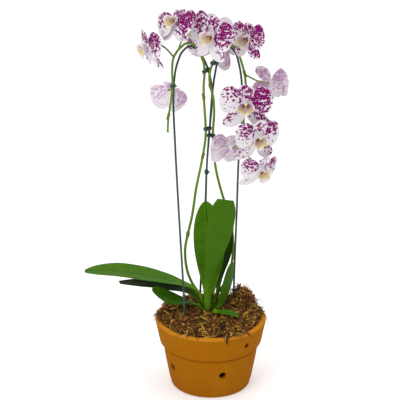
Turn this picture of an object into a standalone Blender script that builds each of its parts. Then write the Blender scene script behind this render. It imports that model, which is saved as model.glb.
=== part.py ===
"""A potted moth orchid: two flower spikes trained over wire hoops in a clay pot.

Metres, +Z up. The origin is the centre of the pot's underside and the front faces -Y.
Tables of places are in millimetres and are turned to metres where they are used.
"""

import math

import bmesh
import bpy
import numpy as np
from mathutils import Matrix

MM = 0.001
GAP = 0.3 * MM

POT_HEIGHT = 112 * MM
POT_RIM_RADIUS = 85 * MM
POT_BODY_RADIUS = 72.5 * MM
POT_FOOT_RADIUS = 61.5 * MM
POT_BAND_HEIGHT = 41 * MM
POT_WALL = 7 * MM
POT_FLOOR = 9 * MM
POT_FOOT_ROUND = 5.5 * MM
POT_BELLY = {"radius": 66.5 * MM, "height": 28 * MM}
POT_GROOVE = 1.2 * MM
POT_COLLAR_RADIUS = 74.8 * MM
POT_COLLAR_ROUND = 3.6 * MM
POT_COLLAR_MIDDLE = {"radius": 81.4 * MM, "height": 90 * MM}
POT_LIP_ROUND = 4.5 * MM
POT_LIP_FOOT = 92 * MM
POT_SEGMENTS = 28
HOLE_SIDES = 10
HOLE_DRILL = (58 * MM, 90 * MM)
LOWER_HOLES = {"count": 5, "height": 42.5 * MM, "radius": 5.5 * MM, "first": -75}
UPPER_HOLES = {"count": 3, "height": 90 * MM, "radius": 4.3 * MM, "first": -48}
FLOOR_HOLES = {"count": 3, "distance": 32 * MM, "radius": 6 * MM, "first": 30}

MEDIUM_EDGE = 107 * MM
MEDIUM_CENTRE = 113 * MM
MEDIUM_CLEARANCE = 1.5 * MM
MEDIUM_SHOULDER = 98 * MM
MEDIUM_RIDGE = 1.3 * MM
MEDIUM_SEGMENTS = 24
MEDIUM_RINGS = 5
# Mounds of the medium: x, y, height and spread, in millimetres.
MOUNDS = [(50, 38, 25, 17), (-58, 22, 10, 13), (-38, -22, 8, 12), (8, -46, 4, 18), (36, -8, 5, 15)]

CROWN_RADIUS = 7 * MM
CROWN_PLACE = (-4 * MM, 8 * MM)
CROWN_SIDES = 10
# The crown's rings and those of its socket: heights in millimetres and shares of its radius.
CROWN_HEIGHTS = (100, 114, 134, 142, 146)
CROWN_SHARES = (0.7, 1, 0.95, 0.75, 0.3)
CROWN_SOCKET_HEIGHTS = (99.6, 112, 160)
CROWN_SOCKET_SHARES = (0.75, 1.08, 1.08)

LEAF_THICKNESS = 2 * MM
LEAF_BASE_WIDTH = 10.5
LEAF_ROWS = 9
LEAF_COLUMNS = 5
LEAF_CLASP = 0.42
LEAF_CLASP_REACH = 0.12

HOOP_RADIUS = 1.6 * MM
SPIKE_RADIUS = 2.2 * MM
PEDICEL_RADIUS = 1.3 * MM
PEDICEL_SHARES = (1.0, 0.95, 0.95, 1.0, 1.15, 1.35, 1.5)
STEM_STATIONS = 24
STEM_TAPER = 0.3
JOINT_SWELL = 0.6 * MM
JOINT_REACH = 2.5 * MM
STEM_SIDES = 6
PEDICEL_SIDES = 5
WIRE_SIDES = 6
SOCKET_SIDES = 8
SOCKET_STATIONS = 5
CLIP_SIDES = 10
CLIP_WALL = 1.1 * MM
CLIP_HEIGHT = 4 * MM
CLIP_CLEARANCE = 0.7 * MM

TEPAL_THICKNESS = 1.0 * MM
LIP_THICKNESS = 1.1 * MM
HUB_RADIUS = 4.6 * MM
HUB_BACK = -3.0 * MM
HUB_FRONT = 2.4 * MM
HUB_SHARES = (0.75, 1, 0.8)
HUB_SIDES = 6
COLUMN_SIDES = 5

# Each wire hoop from one foot to the other, in millimetres.
HOOP_LEFT = [
    (-38, -29, 40), (-39.5, -24, 118), (-48, -3, 280), (-53.5, 11, 391), (-55.5, 17, 450),
    (-54.5, 18, 480), (-49, 19, 510), (-41, 20, 527), (-31, 21, 534), (-20, 21, 527), (-10, 22, 512),
    (-3.5, 23, 494), (0.5, 25, 474), (1, 28, 446), (-3, 32, 393), (-6.5, 37, 333), (-7.5, 40, 286),
    (-16, 48, 128), (-17, 50, 52),
]
HOOP_RIGHT = [
    (-17.5, 56, 52), (-16, 54, 128), (-8, 46, 286), (-6.5, 43, 333), (-2.5, 38, 393), (2, 32, 460),
    (6, 27.5, 492), (10, 26, 511), (17, 25, 526), (26, 24.5, 532), (34, 25, 525), (40, 25, 508),
    (43.5, 26, 490), (46, 27, 457), (46, 28, 417), (42.5, 29, 373), (39.5, 31, 273), (36, 31, 140),
    (35, 31, 40),
]
# Each flower spike from the crown to its free end, in millimetres.
SPIKE_A = [
    (-13.5, 18, 134), (-19, 27, 139), (-27, 34, 148), (-34, 36.5, 163), (-38.5, 35, 186),
    (-39, 32, 212), (-35.5, 30, 232), (-29, 30, 262), (-22, 31, 310), (-13, 30.5, 357),
    (-8, 28.5, 393), (-9, 22.5, 427), (-10.5, 18, 451), (-11, 16.5, 475), (-10, 16, 493),
    (-11, 16, 509), (-16, 16, 524), (-24, 16.5, 536), (-34, 16, 540), (-45, 14.5, 533),
    (-55, 13.5, 518), (-57, 12.5, 500), (-56.5, 11.5, 475), (-59.5, 8, 450), (-63, 5, 428),
    (-64, 3, 408),
]
SPIKE_B = [
    (6, 20.5, 134), (11, 27, 138), (19, 36, 145), (28, 47, 158), (33.5, 53, 180), (34.5, 57, 215),
    (30, 58, 250), (20, 55, 282), (8.5, 46.5, 330), (3.5, 39, 372), (3, 31.5, 400), (4.5, 25, 432),
    (3, 21.5, 456), (-2, 18, 478), (-2.5, 17, 492), (1.5, 18, 507), (9, 19, 524), (19, 19, 535),
    (29, 18.5, 536), (38, 18, 526), (44, 16, 511), (49, 12, 492), (50.5, 9, 470), (50, 8, 445),
    (47.5, 6, 422), (45, 2, 402), (45, -4, 386), (47, -11, 374),
]
# Where each spike has a joint with its sheath: millimetres along it from the crown.
SPIKE_A_JOINTS = [112, 242, 340, 400, 505, 550, 585]
SPIKE_B_JOINTS = [118, 262, 366, 445, 490, 535, 570, 600]

# Each leaf: its midrib and full width in millimetres, the way its upper face looks at the base
# and at the tip, how deep its channel is, and how much of the pointed tip is missing. A leaf with
# a neck stays narrow for longer.
LEAVES = {
    "leaf_long_left": dict(
        rib=[(-14, 8, 131), (-18.5, 10, 142), (-28, 14, 150), (-48, 18, 157), (-80, 21, 165),
             (-112, 23, 171), (-145, 25, 175), (-172, 26, 175), (-194, 26, 174)],
        width=56, up=[(1, 0, 0.3), (0.1, 0, 1)], channel=0.16, missing=0.0),
    "leaf_under_left": dict(
        rib=[(-13, 15, 119), (-20, 18, 130), (-30, 22, 139), (-50, 27, 146), (-82, 25, 154),
             (-112, 21, 157), (-140, 15, 160)],
        width=33, up=[(1, -0.3, 0.3), (0.1, 0.15, 1)], channel=0.10, missing=0.05),
    "leaf_front_left": dict(
        rib=[(-14, 3.4, 119), (-20, 1, 127), (-30, -0.5, 132), (-45, -2, 136), (-65, -7, 145),
             (-89, -15, 162)],
        width=34, up=[(1, 0.5, 0.3), (0.1, -0.45, 1)], channel=0.20, missing=0.0),
    "leaf_upright_left": dict(
        rib=[(-3.4, 18, 128), (-2.5, 19.5, 145), (-1.5, 22, 172), (-1.5, 25, 200), (-3.5, 28, 232),
             (-6, 31, 262), (-8, 34, 286)],
        width=47, up=[(0, -1, 0), (0.15, -1, 0.2)], channel=0.30, missing=0.0),
    "leaf_front": dict(
        rib=[(-4.2, -1.5, 122), (-5, -3, 140), (-4, -5, 165), (1, -8, 196), (7, -10.5, 226),
             (12.5, -10.5, 255), (16.5, -9.5, 277), (19.5, -8.5, 292), (22, -7.5, 305)],
        width=41, up=[(0.05, 1, 0), (-0.15, 1, 0.15)], channel=0.14, missing=0.04, neck=1.9),
    "leaf_back_right": dict(
        rib=[(7.6, 6.6, 129), (11, 9, 141), (14.5, 16, 158), (18.5, 24, 180), (22, 29, 205),
             (24.5, 33, 228), (26.5, 36, 247)],
        width=34, up=[(-1, 0.1, 0.2), (-0.5, -1, 0.15)], channel=0.30, missing=0.0),
    "leaf_right": dict(
        rib=[(5.2, 13.2, 118), (11, 15, 124), (20, 16, 136), (27, 16.5, 154), (31, 17, 172),
             (34, 18, 192)],
        width=24, up=[(-1, -0.4, 0.4), (-0.9, 0.55, 0.45)], channel=0.25, missing=0.0),
    "leaf_low_right": dict(
        rib=[(6.8, 1.6, 118), (12, -3, 124), (18, -6, 136), (23, -9, 152), (27, -11, 170),
             (29.5, -12, 190), (30.5, -12.5, 204)],
        width=25, up=[(-1, 0.9, 0.4), (-0.9, 0.7, 0.3)], channel=0.3, missing=0.0),
    "leaf_stub": dict(
        rib=[(3.4, -11.1, 121), (15, -17.5, 125), (28, -21, 125), (42, -23, 121)],
        width=15, up=[(0, 0, 1), (0.1, -0.1, 1)], channel=0.35, missing=0.12),
}

# Each bloom: centre in millimetres, the way it faces (yaw and pitch from the front, roll about
# its own axis, in degrees), size, how far its top sepal leans over the lip (as a slope), how far
# its petals sweep back, and its spike and start on it. Some also have a larger lip, a shorter top
# sepal or lower sepals, or petals that droop by so many degrees.
BLOOMS = [
    dict(centre=(-90, -18, 546), yaw=-62, pitch=-2, roll=6, size=0.82, hood=0.35, sweep=0.18, spike="a",
         start=(-54, 14, 519), lip=1.12, top=0.8, low=0.9),
    dict(centre=(-50, -30, 587), yaw=-42, pitch=28, roll=8, size=0.84, hood=-0.4, sweep=0.06, spike="a",
         start=(-48, 14.5, 530), lip=1.1, top=0.7, low=0.8, droop=32),
    dict(centre=(-24, 30, 560), yaw=-40, pitch=0, roll=17, size=0.85, hood=0.2, sweep=0.04, spike="a",
         start=(-14, 16, 519)),
    dict(centre=(1.5, -40, 567), yaw=-38, pitch=14, roll=-6, size=0.92, hood=0.3, sweep=0.0, spike="b",
         start=(9, 19, 524), low=0.83),
    dict(centre=(13.6, 56, 539.5), yaw=160, pitch=-8, roll=20, size=0.96, hood=0.1, sweep=0.05, spike="b",
         start=(22, 19, 536)),
    dict(centre=(53, -24, 559.5), yaw=-42, pitch=14, roll=2, size=0.78, hood=0.3, sweep=-0.05, spike="b",
         start=(36, 18, 529), lip=1.2, top=0.85, low=0.85),
    dict(centre=(50, -34, 467.5), yaw=-4, pitch=-8, roll=0, size=0.96, hood=0.35, sweep=0.0, spike="b",
         start=(50, 10, 478), lip=1.06, low=1.08),
    dict(centre=(86, 16, 480), yaw=140, pitch=-4, roll=-34, size=0.9, hood=-0.35, sweep=0.1, spike="b",
         start=(49, 12, 494), low=0.6, droop=30),
    dict(centre=(-60, 44, 461), yaw=152, pitch=-8, roll=5, size=0.84, hood=-0.8, sweep=0.25, spike="a",
         start=(-57, 12, 470), top=0.5, low=0.6, droop=52),
    dict(centre=(67, -42, 417.5), yaw=22, pitch=-6, roll=-2, size=0.88, hood=0.35, sweep=0.12, spike="b",
         start=(47.5, 6, 422), lip=1.08),
    dict(centre=(73, -38, 366), yaw=26, pitch=-12, roll=-4, size=0.75, hood=0.35, sweep=0.35, spike="b",
         start=(46, -8, 380), lip=1.15, droop=12),
    dict(centre=(30.5, 2, 384), yaw=-150, pitch=0, roll=0, size=0.96, hood=0.3, sweep=0.1, spike="b",
         start=(45, 2, 402), top=0.6, low=0.42),
]
# The tepals' sizes, lifts and waves in millimetres, and the curve across each.
TOP_SEPAL = dict(length=31, width=25, lift=0.0, cup=0.1, claw=0.75, wave=0.6)
LOWER_SEPAL = dict(length=53, width=25, lift=-0.6, cup=0.12, claw=0.75, wave=0.6)
PETAL = dict(length=40, width=46, lift=1.2, cup=0.06, claw=0.85, wave=1.6)
LOWER_SEPAL_ANGLE = 144
PETAL_ANGLE = 82
TEPAL_CLAW = 2.6
# The lip's column, tip and right lobe in millimetres: points along each and half widths there.
COLUMN = [(0, 0, 2.7), (0, 0.1, 5), (0, 0.8, 10.6), (0, -0.8, 12.6)]
COLUMN_RADII = (2.3, 2.4, 2.9, 1.4)
LIP_TIP = [(0, 0.6, 5.6), (0, -5.5, 8.2), (0, -12.5, 13.0), (0, -19.2, 13.6)]
LIP_TIP_HALVES = (2.0, 4.6, 6.6, 1.0)
LIP_LOBE = [(0.8, -3.4, 6.6), (8.0, -3.8, 10.5), (11.2, 1.5, 15.0)]
LIP_LOBE_HALVES = (2.4, 6.4, 2.6)

# Each clip: a place on or near both wires or stems that it holds, in millimetres.
CLIPS = [
    ("hoop_left", "spike_a", (-55.8, 15, 476)),
    ("hoop_left", "spike_a", (-8, 20, 497)),
    ("hoop_left", "spike_a", (-5.5, 30, 404)),
    ("hoop_left", "spike_b", (0, 32, 393)),
    ("hoop_left", "hoop_right", (-6.3, 39, 332)),
    ("hoop_right", "spike_b", (7.5, 24, 507)),
]

CLAY = ("fired clay", "a86405", 0.62)
COIR = ("coir and sphagnum", "6b3e10", 0.95)
LEAF = ("orchid leaf", "3f7408", 0.42)
STEM = ("flower spike skin", "5f8a12", 0.45)
CROWN = ("leaf sheath", "5f9410", 0.45)
WIRE = ("plastic-coated wire", "12332c", 0.35)
TEPAL = ("orchid petal", "ece6ee", 0.5)
LIP = ("orchid lip", "e3b73c", 0.45)


def material(name, colour, roughness):
    """A Principled material with the given sRGB hex colour."""
    found = bpy.data.materials.get(name)
    if found:
        return found
    made = bpy.data.materials.new(name)
    made.use_nodes = True
    srgb = [int(colour[i : i + 2], 16) / 255 for i in (0, 2, 4)]
    linear = [c / 12.92 if c <= 0.04045 else ((c + 0.055) / 1.055) ** 2.4 for c in srgb]
    shader = made.node_tree.nodes["Principled BSDF"]
    shader.inputs["Base Color"].default_value = (*linear, 1)
    shader.inputs["Roughness"].default_value = roughness
    made.diffuse_color = (*linear, 1)
    return made


def add_object(name, bm, finish):
    """Puts a bmesh into the scene as an object, with its faces pointing out."""
    bmesh.ops.recalc_face_normals(bm, faces=bm.faces)
    mesh = bpy.data.meshes.new(name)
    bm.to_mesh(mesh)
    bm.free()
    mesh.materials.append(material(*finish))
    made = bpy.data.objects.new(name, mesh)
    bpy.context.scene.collection.objects.link(made)
    return made


def apply_modifiers(thing):
    """Makes the evaluated mesh the object's own."""
    graph = bpy.context.evaluated_depsgraph_get()
    mesh = bpy.data.meshes.new_from_object(thing.evaluated_get(graph))
    thing.modifiers.clear()
    thing.data = mesh
    mesh.name = thing.name


def fuse(pieces):
    """One Boolean union of the first piece with all the others, which are then removed."""
    return combine(pieces[0], pieces[1:], "UNION")


def cut(thing, cutters):
    """Takes the cutters away from the thing, and removes them."""
    return combine(thing, cutters, "DIFFERENCE")


def combine(thing, others, operation):
    held = bpy.data.collections.new("held")
    bpy.context.scene.collection.children.link(held)
    for other in others:
        bpy.context.scene.collection.objects.unlink(other)
        held.objects.link(other)
    modifier = thing.modifiers.new(operation.title(), "BOOLEAN")
    modifier.operation = operation
    modifier.operand_type = "COLLECTION"
    modifier.collection = held
    modifier.solver = "MANIFOLD" if operation == "UNION" else "EXACT"
    apply_modifiers(thing)
    for other in others:
        bpy.data.objects.remove(other)
    bpy.data.collections.remove(held)
    return thing


def smooth(points, stations):
    """A cubic curve through points in millimetres, at stations from 0 to 1 along it, in metres.

    The chord lengths are its parameter, and its slope at each point is that of the
    parabola through the point and its two neighbours.
    """
    points = np.array(points, float) * MM
    chord = np.concatenate([[0], np.cumsum(np.linalg.norm(np.diff(points, axis=0), axis=1))])
    slope = np.gradient(points, chord, axis=0)
    place = np.asarray(stations) * chord[-1]
    i = np.clip(np.searchsorted(chord, place, side="right") - 1, 0, len(points) - 2)
    step = (chord[i + 1] - chord[i])[:, None]
    t = (place - chord[i])[:, None] / step
    return (
        (2 * t**3 - 3 * t**2 + 1) * points[i]
        + (t**3 - 2 * t**2 + t) * step * slope[i]
        + (3 * t**2 - 2 * t**3) * points[i + 1]
        + (t**3 - t**2) * step * slope[i + 1]
    )


def length_of(points):
    """The summed chords of points in millimetres, in millimetres."""
    return np.linalg.norm(np.diff(np.array(points, float), axis=0), axis=1).sum()


def unit(vectors):
    vectors = np.asarray(vectors, float)
    return vectors / np.linalg.norm(vectors, axis=-1, keepdims=True)


def frames(path):
    """Tangents, and two unit vectors across each, carried along the path without twist."""
    tangents = unit(np.gradient(path, axis=0))
    side = unit(np.cross(tangents[0], (0.31, 0.95, 0.11)))
    sides = []
    for tangent in tangents:
        side = unit(side - tangent * np.dot(side, tangent))
        sides.append(side)
    sides = np.array(sides)
    return tangents, sides, np.cross(tangents, sides)


def tube(name, path, radii, sides, finish):
    """A closed tube: a ring of points round each point of the path, and a fan at each end."""
    _, across, up = frames(path)
    turn = 2 * math.pi * np.arange(sides) / sides
    radii = np.broadcast_to(radii, len(path))
    around = np.cos(turn)[None, :, None] * across[:, None] + np.sin(turn)[None, :, None] * up[:, None]
    rings = path[:, None] + radii[:, None, None] * around
    bm = bmesh.new()
    grid = [[bm.verts.new(point) for point in ring] for ring in rings]
    for ring, following in zip(grid, grid[1:]):
        for k in range(sides):
            bm.faces.new((ring[k - 1], ring[k], following[k], following[k - 1]))
    bm.faces.new(grid[0])
    bm.faces.new(grid[-1])
    return add_object(name, bm, finish)


def blade(name, middle, thickness, finish):
    """A closed thin blade round a grid of points, its middle surface.

    Both faces are half the thickness off along the normal, and are split into triangles
    along the same diagonals, so that they never cross where the blade is waved.
    """
    normal = unit(np.cross(np.gradient(middle, axis=0), np.gradient(middle, axis=1)))
    half = normal * thickness / 2
    bm = bmesh.new()
    top = [[bm.verts.new(point) for point in row] for row in middle + half]
    bottom = [[bm.verts.new(point) for point in row] for row in middle - half]
    rows, columns = middle.shape[:2]
    for face in (top, bottom):
        for i in range(rows - 1):
            for j in range(columns - 1):
                a, b = face[i][j], face[i][j + 1]
                c, d = face[i + 1][j + 1], face[i + 1][j]
                lean = j < (columns - 1) / 2
                split = ((a, b, c), (a, c, d)) if lean else ((a, b, d), (b, c, d))
                for corners in split:
                    bm.faces.new(corners)
    edge = [(i, 0) for i in range(rows)] + [(rows - 1, j) for j in range(1, columns)]
    edge += [(i, columns - 1) for i in range(rows - 2, -1, -1)]
    edge += [(0, j) for j in range(columns - 2, 0, -1)]
    for (i, j), (k, m) in zip(edge, edge[1:] + edge[:1]):
        bm.faces.new((top[i][j], top[k][m], bottom[k][m], bottom[i][j]))
    return add_object(name, bm, finish)


def arc(x, z, radius, start, end, steps):
    """Points (radius, height) of an arc about (x, z), its angles in degrees from +X."""
    turn = np.radians(np.linspace(start, end, steps + 1))
    return [(x + radius * math.cos(a), z + radius * math.sin(a)) for a in turn]


def turned(name, profile, segments, finish):
    """A solid of revolution: the profile runs from the axis, round the outside, back to the axis."""
    bm = bmesh.new()
    points = [bm.verts.new((radius, 0, height)) for radius, height in profile]
    edges = [bm.edges.new(pair) for pair in zip(points, points[1:])]
    bmesh.ops.spin(
        bm,
        geom=points + edges,
        cent=(0, 0, 0),
        axis=(0, 0, 1),
        angle=2 * math.pi,
        steps=segments,
        use_merge=True,
    )
    bmesh.ops.remove_doubles(bm, verts=bm.verts, dist=0.001 * MM)
    return add_object(name, bm, finish)


def inner_radius(height):
    """The pot's inner wall leans out from its floor to its rim."""
    foot = POT_FOOT_RADIUS - POT_WALL
    rim = POT_RIM_RADIUS - POT_WALL
    return foot + (rim - foot) * (height - POT_FLOOR) / (POT_HEIGHT - POT_FLOOR)


def spokes(row):
    """The ways out from the axis to the holes of a row, evenly spaced from the first one's angle."""
    turns = np.radians(row["first"] + 360 * np.arange(row["count"]) / row["count"])
    return np.stack([np.cos(turns), np.sin(turns), 0 * turns], 1)


def build_pot():
    """The clay pot: a tapered body, a seam, a deep collar with a rolled rim, and its air holes."""
    seam = POT_HEIGHT - POT_BAND_HEIGHT
    foot = POT_FOOT_RADIUS - POT_FOOT_ROUND
    profile = [(0, 0), (foot - 0.5 * MM, 0)]
    profile += arc(foot, POT_FOOT_ROUND, POT_FOOT_ROUND, -62, 0, 3)
    profile += [
        (POT_BELLY["radius"], POT_BELLY["height"]),
        (POT_BODY_RADIUS - 1.5 * MM, seam - 18 * MM),
        (POT_BODY_RADIUS, seam - 5 * MM),
        (POT_BODY_RADIUS - POT_GROOVE, seam - 3.5 * MM),
        (POT_BODY_RADIUS, seam - 2 * MM),
    ]
    profile += arc(POT_COLLAR_RADIUS, seam + 4 * MM, POT_COLLAR_ROUND, -80, 0, 3)
    profile += [(POT_COLLAR_MIDDLE["radius"], POT_COLLAR_MIDDLE["height"])]
    lip = POT_LIP_ROUND
    profile += arc(POT_RIM_RADIUS - lip, POT_HEIGHT - lip, lip, 0, 180, 5)
    profile += [(inner_radius(height), height) for height in (POT_LIP_FOOT, POT_FLOOR)]
    profile += [(0, POT_FLOOR)]
    pot = turned("pot", profile, POT_SEGMENTS, CLAY)
    holes = []
    for row in (LOWER_HOLES, UPPER_HOLES):
        for out in spokes(row):
            path = np.outer(HOLE_DRILL, out) + (0, 0, row["height"])
            holes.append(tube("hole", path, row["radius"], HOLE_SIDES, CLAY))
    for out in spokes(FLOOR_HOLES):
        path = out * FLOOR_HOLES["distance"] + np.outer((-2 * MM, POT_FLOOR + 2 * MM), (0, 0, 1))
        holes.append(tube("hole", path, FLOOR_HOLES["radius"], HOLE_SIDES, CLAY))
    return cut(pot, holes)


def medium_height(x, y):
    """The medium's surface: a dome, its mounds as bell curves, and ridges from three sine waves."""
    reach = np.hypot(x, y) / inner_radius(MEDIUM_EDGE)
    height = MEDIUM_CENTRE + (MEDIUM_EDGE - MEDIUM_CENTRE) * reach**2.2
    for at_x, at_y, rise, spread in MOUNDS:
        away = np.hypot(x - at_x * MM, y - at_y * MM) / (spread * MM)
        height = height + rise * MM * np.exp(-(away**2))
    ridges = np.sin(310 * x + 130 * y) + np.sin(-170 * x + 330 * y + 1) + np.sin(410 * x - 290 * y + 2)
    return height + MEDIUM_RIDGE * ridges


def build_medium(cutters):
    """The medium fills the pot: its sides follow the inner wall, and stems stand in plain holes."""
    low = POT_FLOOR + GAP
    turn = 2 * math.pi * np.arange(MEDIUM_SEGMENTS) / MEDIUM_SEGMENTS
    bm = bmesh.new()
    heart = bm.verts.new((0, 0, medium_height(0.0, 0.0)))
    levels = []
    for ring in range(1, MEDIUM_RINGS + 1):
        radius = (inner_radius(MEDIUM_EDGE - 3 * MM) - MEDIUM_CLEARANCE) * (ring / MEDIUM_RINGS) ** 0.85
        x, y = radius * np.cos(turn), radius * np.sin(turn)
        levels.append([bm.verts.new(point) for point in zip(x, y, medium_height(x, y))])
    for height in (MEDIUM_SHOULDER, low):
        radius = inner_radius(height) - MEDIUM_CLEARANCE
        levels.append([bm.verts.new((radius * math.cos(a), radius * math.sin(a), height)) for a in turn])
    foot = bm.verts.new((0, 0, low))
    for k in range(MEDIUM_SEGMENTS):
        bm.faces.new((heart, levels[0][k - 1], levels[0][k]))
        bm.faces.new((foot, levels[-1][k], levels[-1][k - 1]))
        for ring, following in zip(levels, levels[1:]):
            bm.faces.new((ring[k - 1], ring[k], following[k], following[k - 1]))
    bmesh.ops.triangulate(bm, faces=bm.faces)
    return cut(add_object("growing_medium", bm, COIR), cutters)


def above(place, heights):
    """Points over one place, at heights in millimetres."""
    return np.array([*place, 0]) + np.outer(np.array(heights) * MM, (0, 0, 1))


def build_crown():
    """The crown: a short tapering stem with a rounded top."""
    path = above(CROWN_PLACE, CROWN_HEIGHTS)
    return tube("crown", path, CROWN_RADIUS * np.array(CROWN_SHARES), CROWN_SIDES, CROWN)


def build_crown_socket():
    """The hole in the medium that the crown stands in."""
    path = above(CROWN_PLACE, CROWN_SOCKET_HEIGHTS)
    return tube("socket", path, CROWN_RADIUS * np.array(CROWN_SOCKET_SHARES), CROWN_SIDES + 2, COIR)


def leaf_outline(u):
    """Two shares of the widest half width: a smooth rise to 58% of the length, and a round point."""
    rise = np.clip(u / 0.58, 0, 1)
    rise = rise**1.5 * (2.5 - 1.5 * rise)
    tip = np.clip((u - 0.6) / 0.4, 0, 1)
    return rise, (1 - tip**2.2) ** 0.62


def build_leaf(name, rib, width, up, channel, missing, neck=1.0):
    """A leaf: cross sections that open from a clasping base into a shallow channel."""
    last = 0.985 - missing
    u = np.sin(np.linspace(0, 1, LEAF_ROWS) * math.pi / 2 * 0.8) / math.sin(math.pi / 2 * 0.8)
    middle = smooth(rib, u)
    tangents = unit(np.gradient(middle, axis=0))
    face = unit(np.outer(1 - u, unit(up[0])) + np.outer(u, unit(up[1])))
    side = unit(np.cross(tangents, face))
    normal = np.cross(side, tangents)
    rise, tip = leaf_outline((u * last) ** neck)
    half = (LEAF_BASE_WIDTH + (width - LEAF_BASE_WIDTH) * rise) * tip * MM / 2
    v = np.linspace(-1, 1, LEAF_COLUMNS)
    clasp = LEAF_CLASP * np.exp(-((u / LEAF_CLASP_REACH) ** 2)) + channel * (1 - 0.5 * u)
    lift = (clasp * half)[:, None] * np.abs(v) ** 1.7
    across = half[:, None] * v
    grid = middle[:, None] + side[:, None] * across[..., None] + normal[:, None] * lift[..., None]
    return blade(name, grid, LEAF_THICKNESS, LEAF)


def route(points, marks=()):
    """A stem's or a wire's path: even stations, and close ones round each mark (millimetres)."""
    length = length_of(points)
    stations = [np.linspace(0, 1, STEM_STATIONS)]
    for mark in marks:
        stations.append(mark / length + np.array([-4, 0, 4]) / length)
    stations = np.unique(np.round(np.clip(np.concatenate(stations), 0, 1), 4))
    close = np.concatenate([[True], np.diff(stations) > 1.2 / length])
    return smooth(points, stations[close]), stations[close] * length


def stem_radii(along, marks, radius):
    """A stem tapers evenly towards its end, and swells at each joint as a bell curve."""
    taper = radius * (1 - STEM_TAPER * along / along[-1])
    swell = sum(np.exp(-(((along - mark) * MM / JOINT_REACH) ** 2)) for mark in marks)
    return taper + JOINT_SWELL * swell


def bloom_matrix(bloom, share=1.0):
    """Turns bloom space (X right, Y up, Z out of the face) into the part's, at a share of its size."""
    turn = (
        Matrix.Rotation(math.radians(bloom["yaw"]), 4, "Z")
        @ Matrix.Rotation(math.radians(90 - bloom["pitch"]), 4, "X")
        @ Matrix.Rotation(math.radians(bloom["roll"]), 4, "Z")
    )
    place = Matrix.Translation([c * MM for c in bloom["centre"]])
    return place @ turn @ Matrix.Scale(bloom["size"] * share, 4)


def placed(points, matrix):
    """The points moved by a matrix, as one array."""
    matrix = np.array(matrix)
    return points @ matrix[:3, :3].T + matrix[:3, 3]


def pedicel(bloom, path):
    """The short stem from the spike to the back of a bloom: it leaves forward and arrives straight."""
    matrix = np.array(bloom_matrix(bloom))
    facing = unit(matrix[:3, 2])
    end = placed(np.array([0, 0, HUB_BACK - 2.5 * GAP]), matrix)
    start = path[np.argmin(np.linalg.norm(path - np.array(bloom["start"]) * MM, axis=1))]
    reach = np.linalg.norm(end - start)
    away = unit(end - facing * 0.3 * reach - start)
    pull = [start, start + away * reach * 0.35, end - facing * reach * 0.45, end]
    t = np.linspace(0, 1, len(PEDICEL_SHARES))[:, None]
    curve = (1 - t) ** 3 * pull[0] + 3 * (1 - t) ** 2 * t * pull[1]
    curve += 3 * (1 - t) * t**2 * pull[2] + t**3 * pull[3]
    return tube("pedicel", curve, PEDICEL_RADIUS * np.array(PEDICEL_SHARES), PEDICEL_SIDES, STEM)


def build_spike(name, letter, points, joints):
    """A flower spike: its stem with swollen joints, and the pedicels of its blooms."""
    path, along = route(points, joints)
    stem = tube(name, path, stem_radii(along, joints, SPIKE_RADIUS), STEM_SIDES, STEM)
    fine_along = np.linspace(0, along[-1], 400)
    fine = np.stack([np.interp(fine_along, along, path[:, axis]) for axis in range(3)], 1)
    own = [bloom for bloom in BLOOMS if bloom["spike"] == letter]
    return fuse([stem] + [pedicel(bloom, fine) for bloom in own])


def build_clip(name, first, second, radii, near):
    """A band round two stems: each of its points lies out from the nearer stem, as on a belt."""
    near = np.array(near) * MM
    one, other = (path[np.argmin(np.linalg.norm(path - near, axis=1))] for path in (first, second))
    k = np.argmin(np.linalg.norm(first - near, axis=1))
    along = unit(first[k + 1] - first[k - 1])
    other = other - along * np.dot(other - one, along)
    across = unit(other - one)
    up = np.cross(along, across)
    turn = 2 * math.pi * (np.arange(CLIP_SIDES) + 0.5) / CLIP_SIDES
    out = np.cos(turn)[:, None] * across + np.sin(turn)[:, None] * up
    bm = bmesh.new()
    rings = []
    for level, grow in ((-1, 0), (-1, CLIP_WALL), (1, CLIP_WALL), (1, 0)):
        clear = CLIP_CLEARANCE + grow
        reach = np.maximum(out @ one + radii[0], out @ other + radii[1])
        centre = np.where((out @ one + radii[0] >= reach)[:, None], one, other)
        radius = np.where(out @ one + radii[0] >= reach, radii[0], radii[1]) + clear
        ring = centre + out * radius[:, None] + along * level * CLIP_HEIGHT / 2
        rings.append([bm.verts.new(point) for point in ring])
    for ring, following in zip(rings, rings[1:] + rings[:1]):
        for k in range(CLIP_SIDES):
            bm.faces.new((ring[k - 1], ring[k], following[k], following[k - 1]))
    return add_object(name, bm, WIRE)


def tepal_grid(turn, form, share, cells, bend, lean, phase):
    """One tepal's middle surface in bloom space.

    Its half width grows as u to the power `claw` and closes as the square root towards the
    tip. Its height follows a line and a square along it, and a square across it, and its
    edge waves one and a half times.
    """
    length, claw = form["length"] * share * MM, form["claw"]
    u = np.linspace(0, 1, cells[0] + 1) ** 0.85 * 0.97 + 0.015
    v = np.linspace(-1, 1, cells[1] + 1)
    peak = claw / (claw + 0.5)
    outline = (u / peak) ** claw * ((1 - u) / (1 - peak)) ** 0.5
    half = np.maximum(form["width"] / 2 * outline, TEPAL_CLAW * (1 - u)) * MM
    u, v, half = u[:, None], v[None, :], half[:, None]
    along = length * u + 0 * v
    across = half * v + lean * length * 0.06 * np.sin(math.pi * u)
    height = form["lift"] * MM + length * (bend[0] * u + bend[1] * u**2) + form["cup"] * half * v**2
    height = height + form["wave"] * MM * u * v**2 * np.sin(3 * math.pi * u + phase + 1.3 * v)
    turn = math.radians(turn)
    x = along * math.sin(turn) + across * math.cos(turn)
    y = along * math.cos(turn) - across * math.sin(turn)
    return np.stack([x, y, height], -1)


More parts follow.
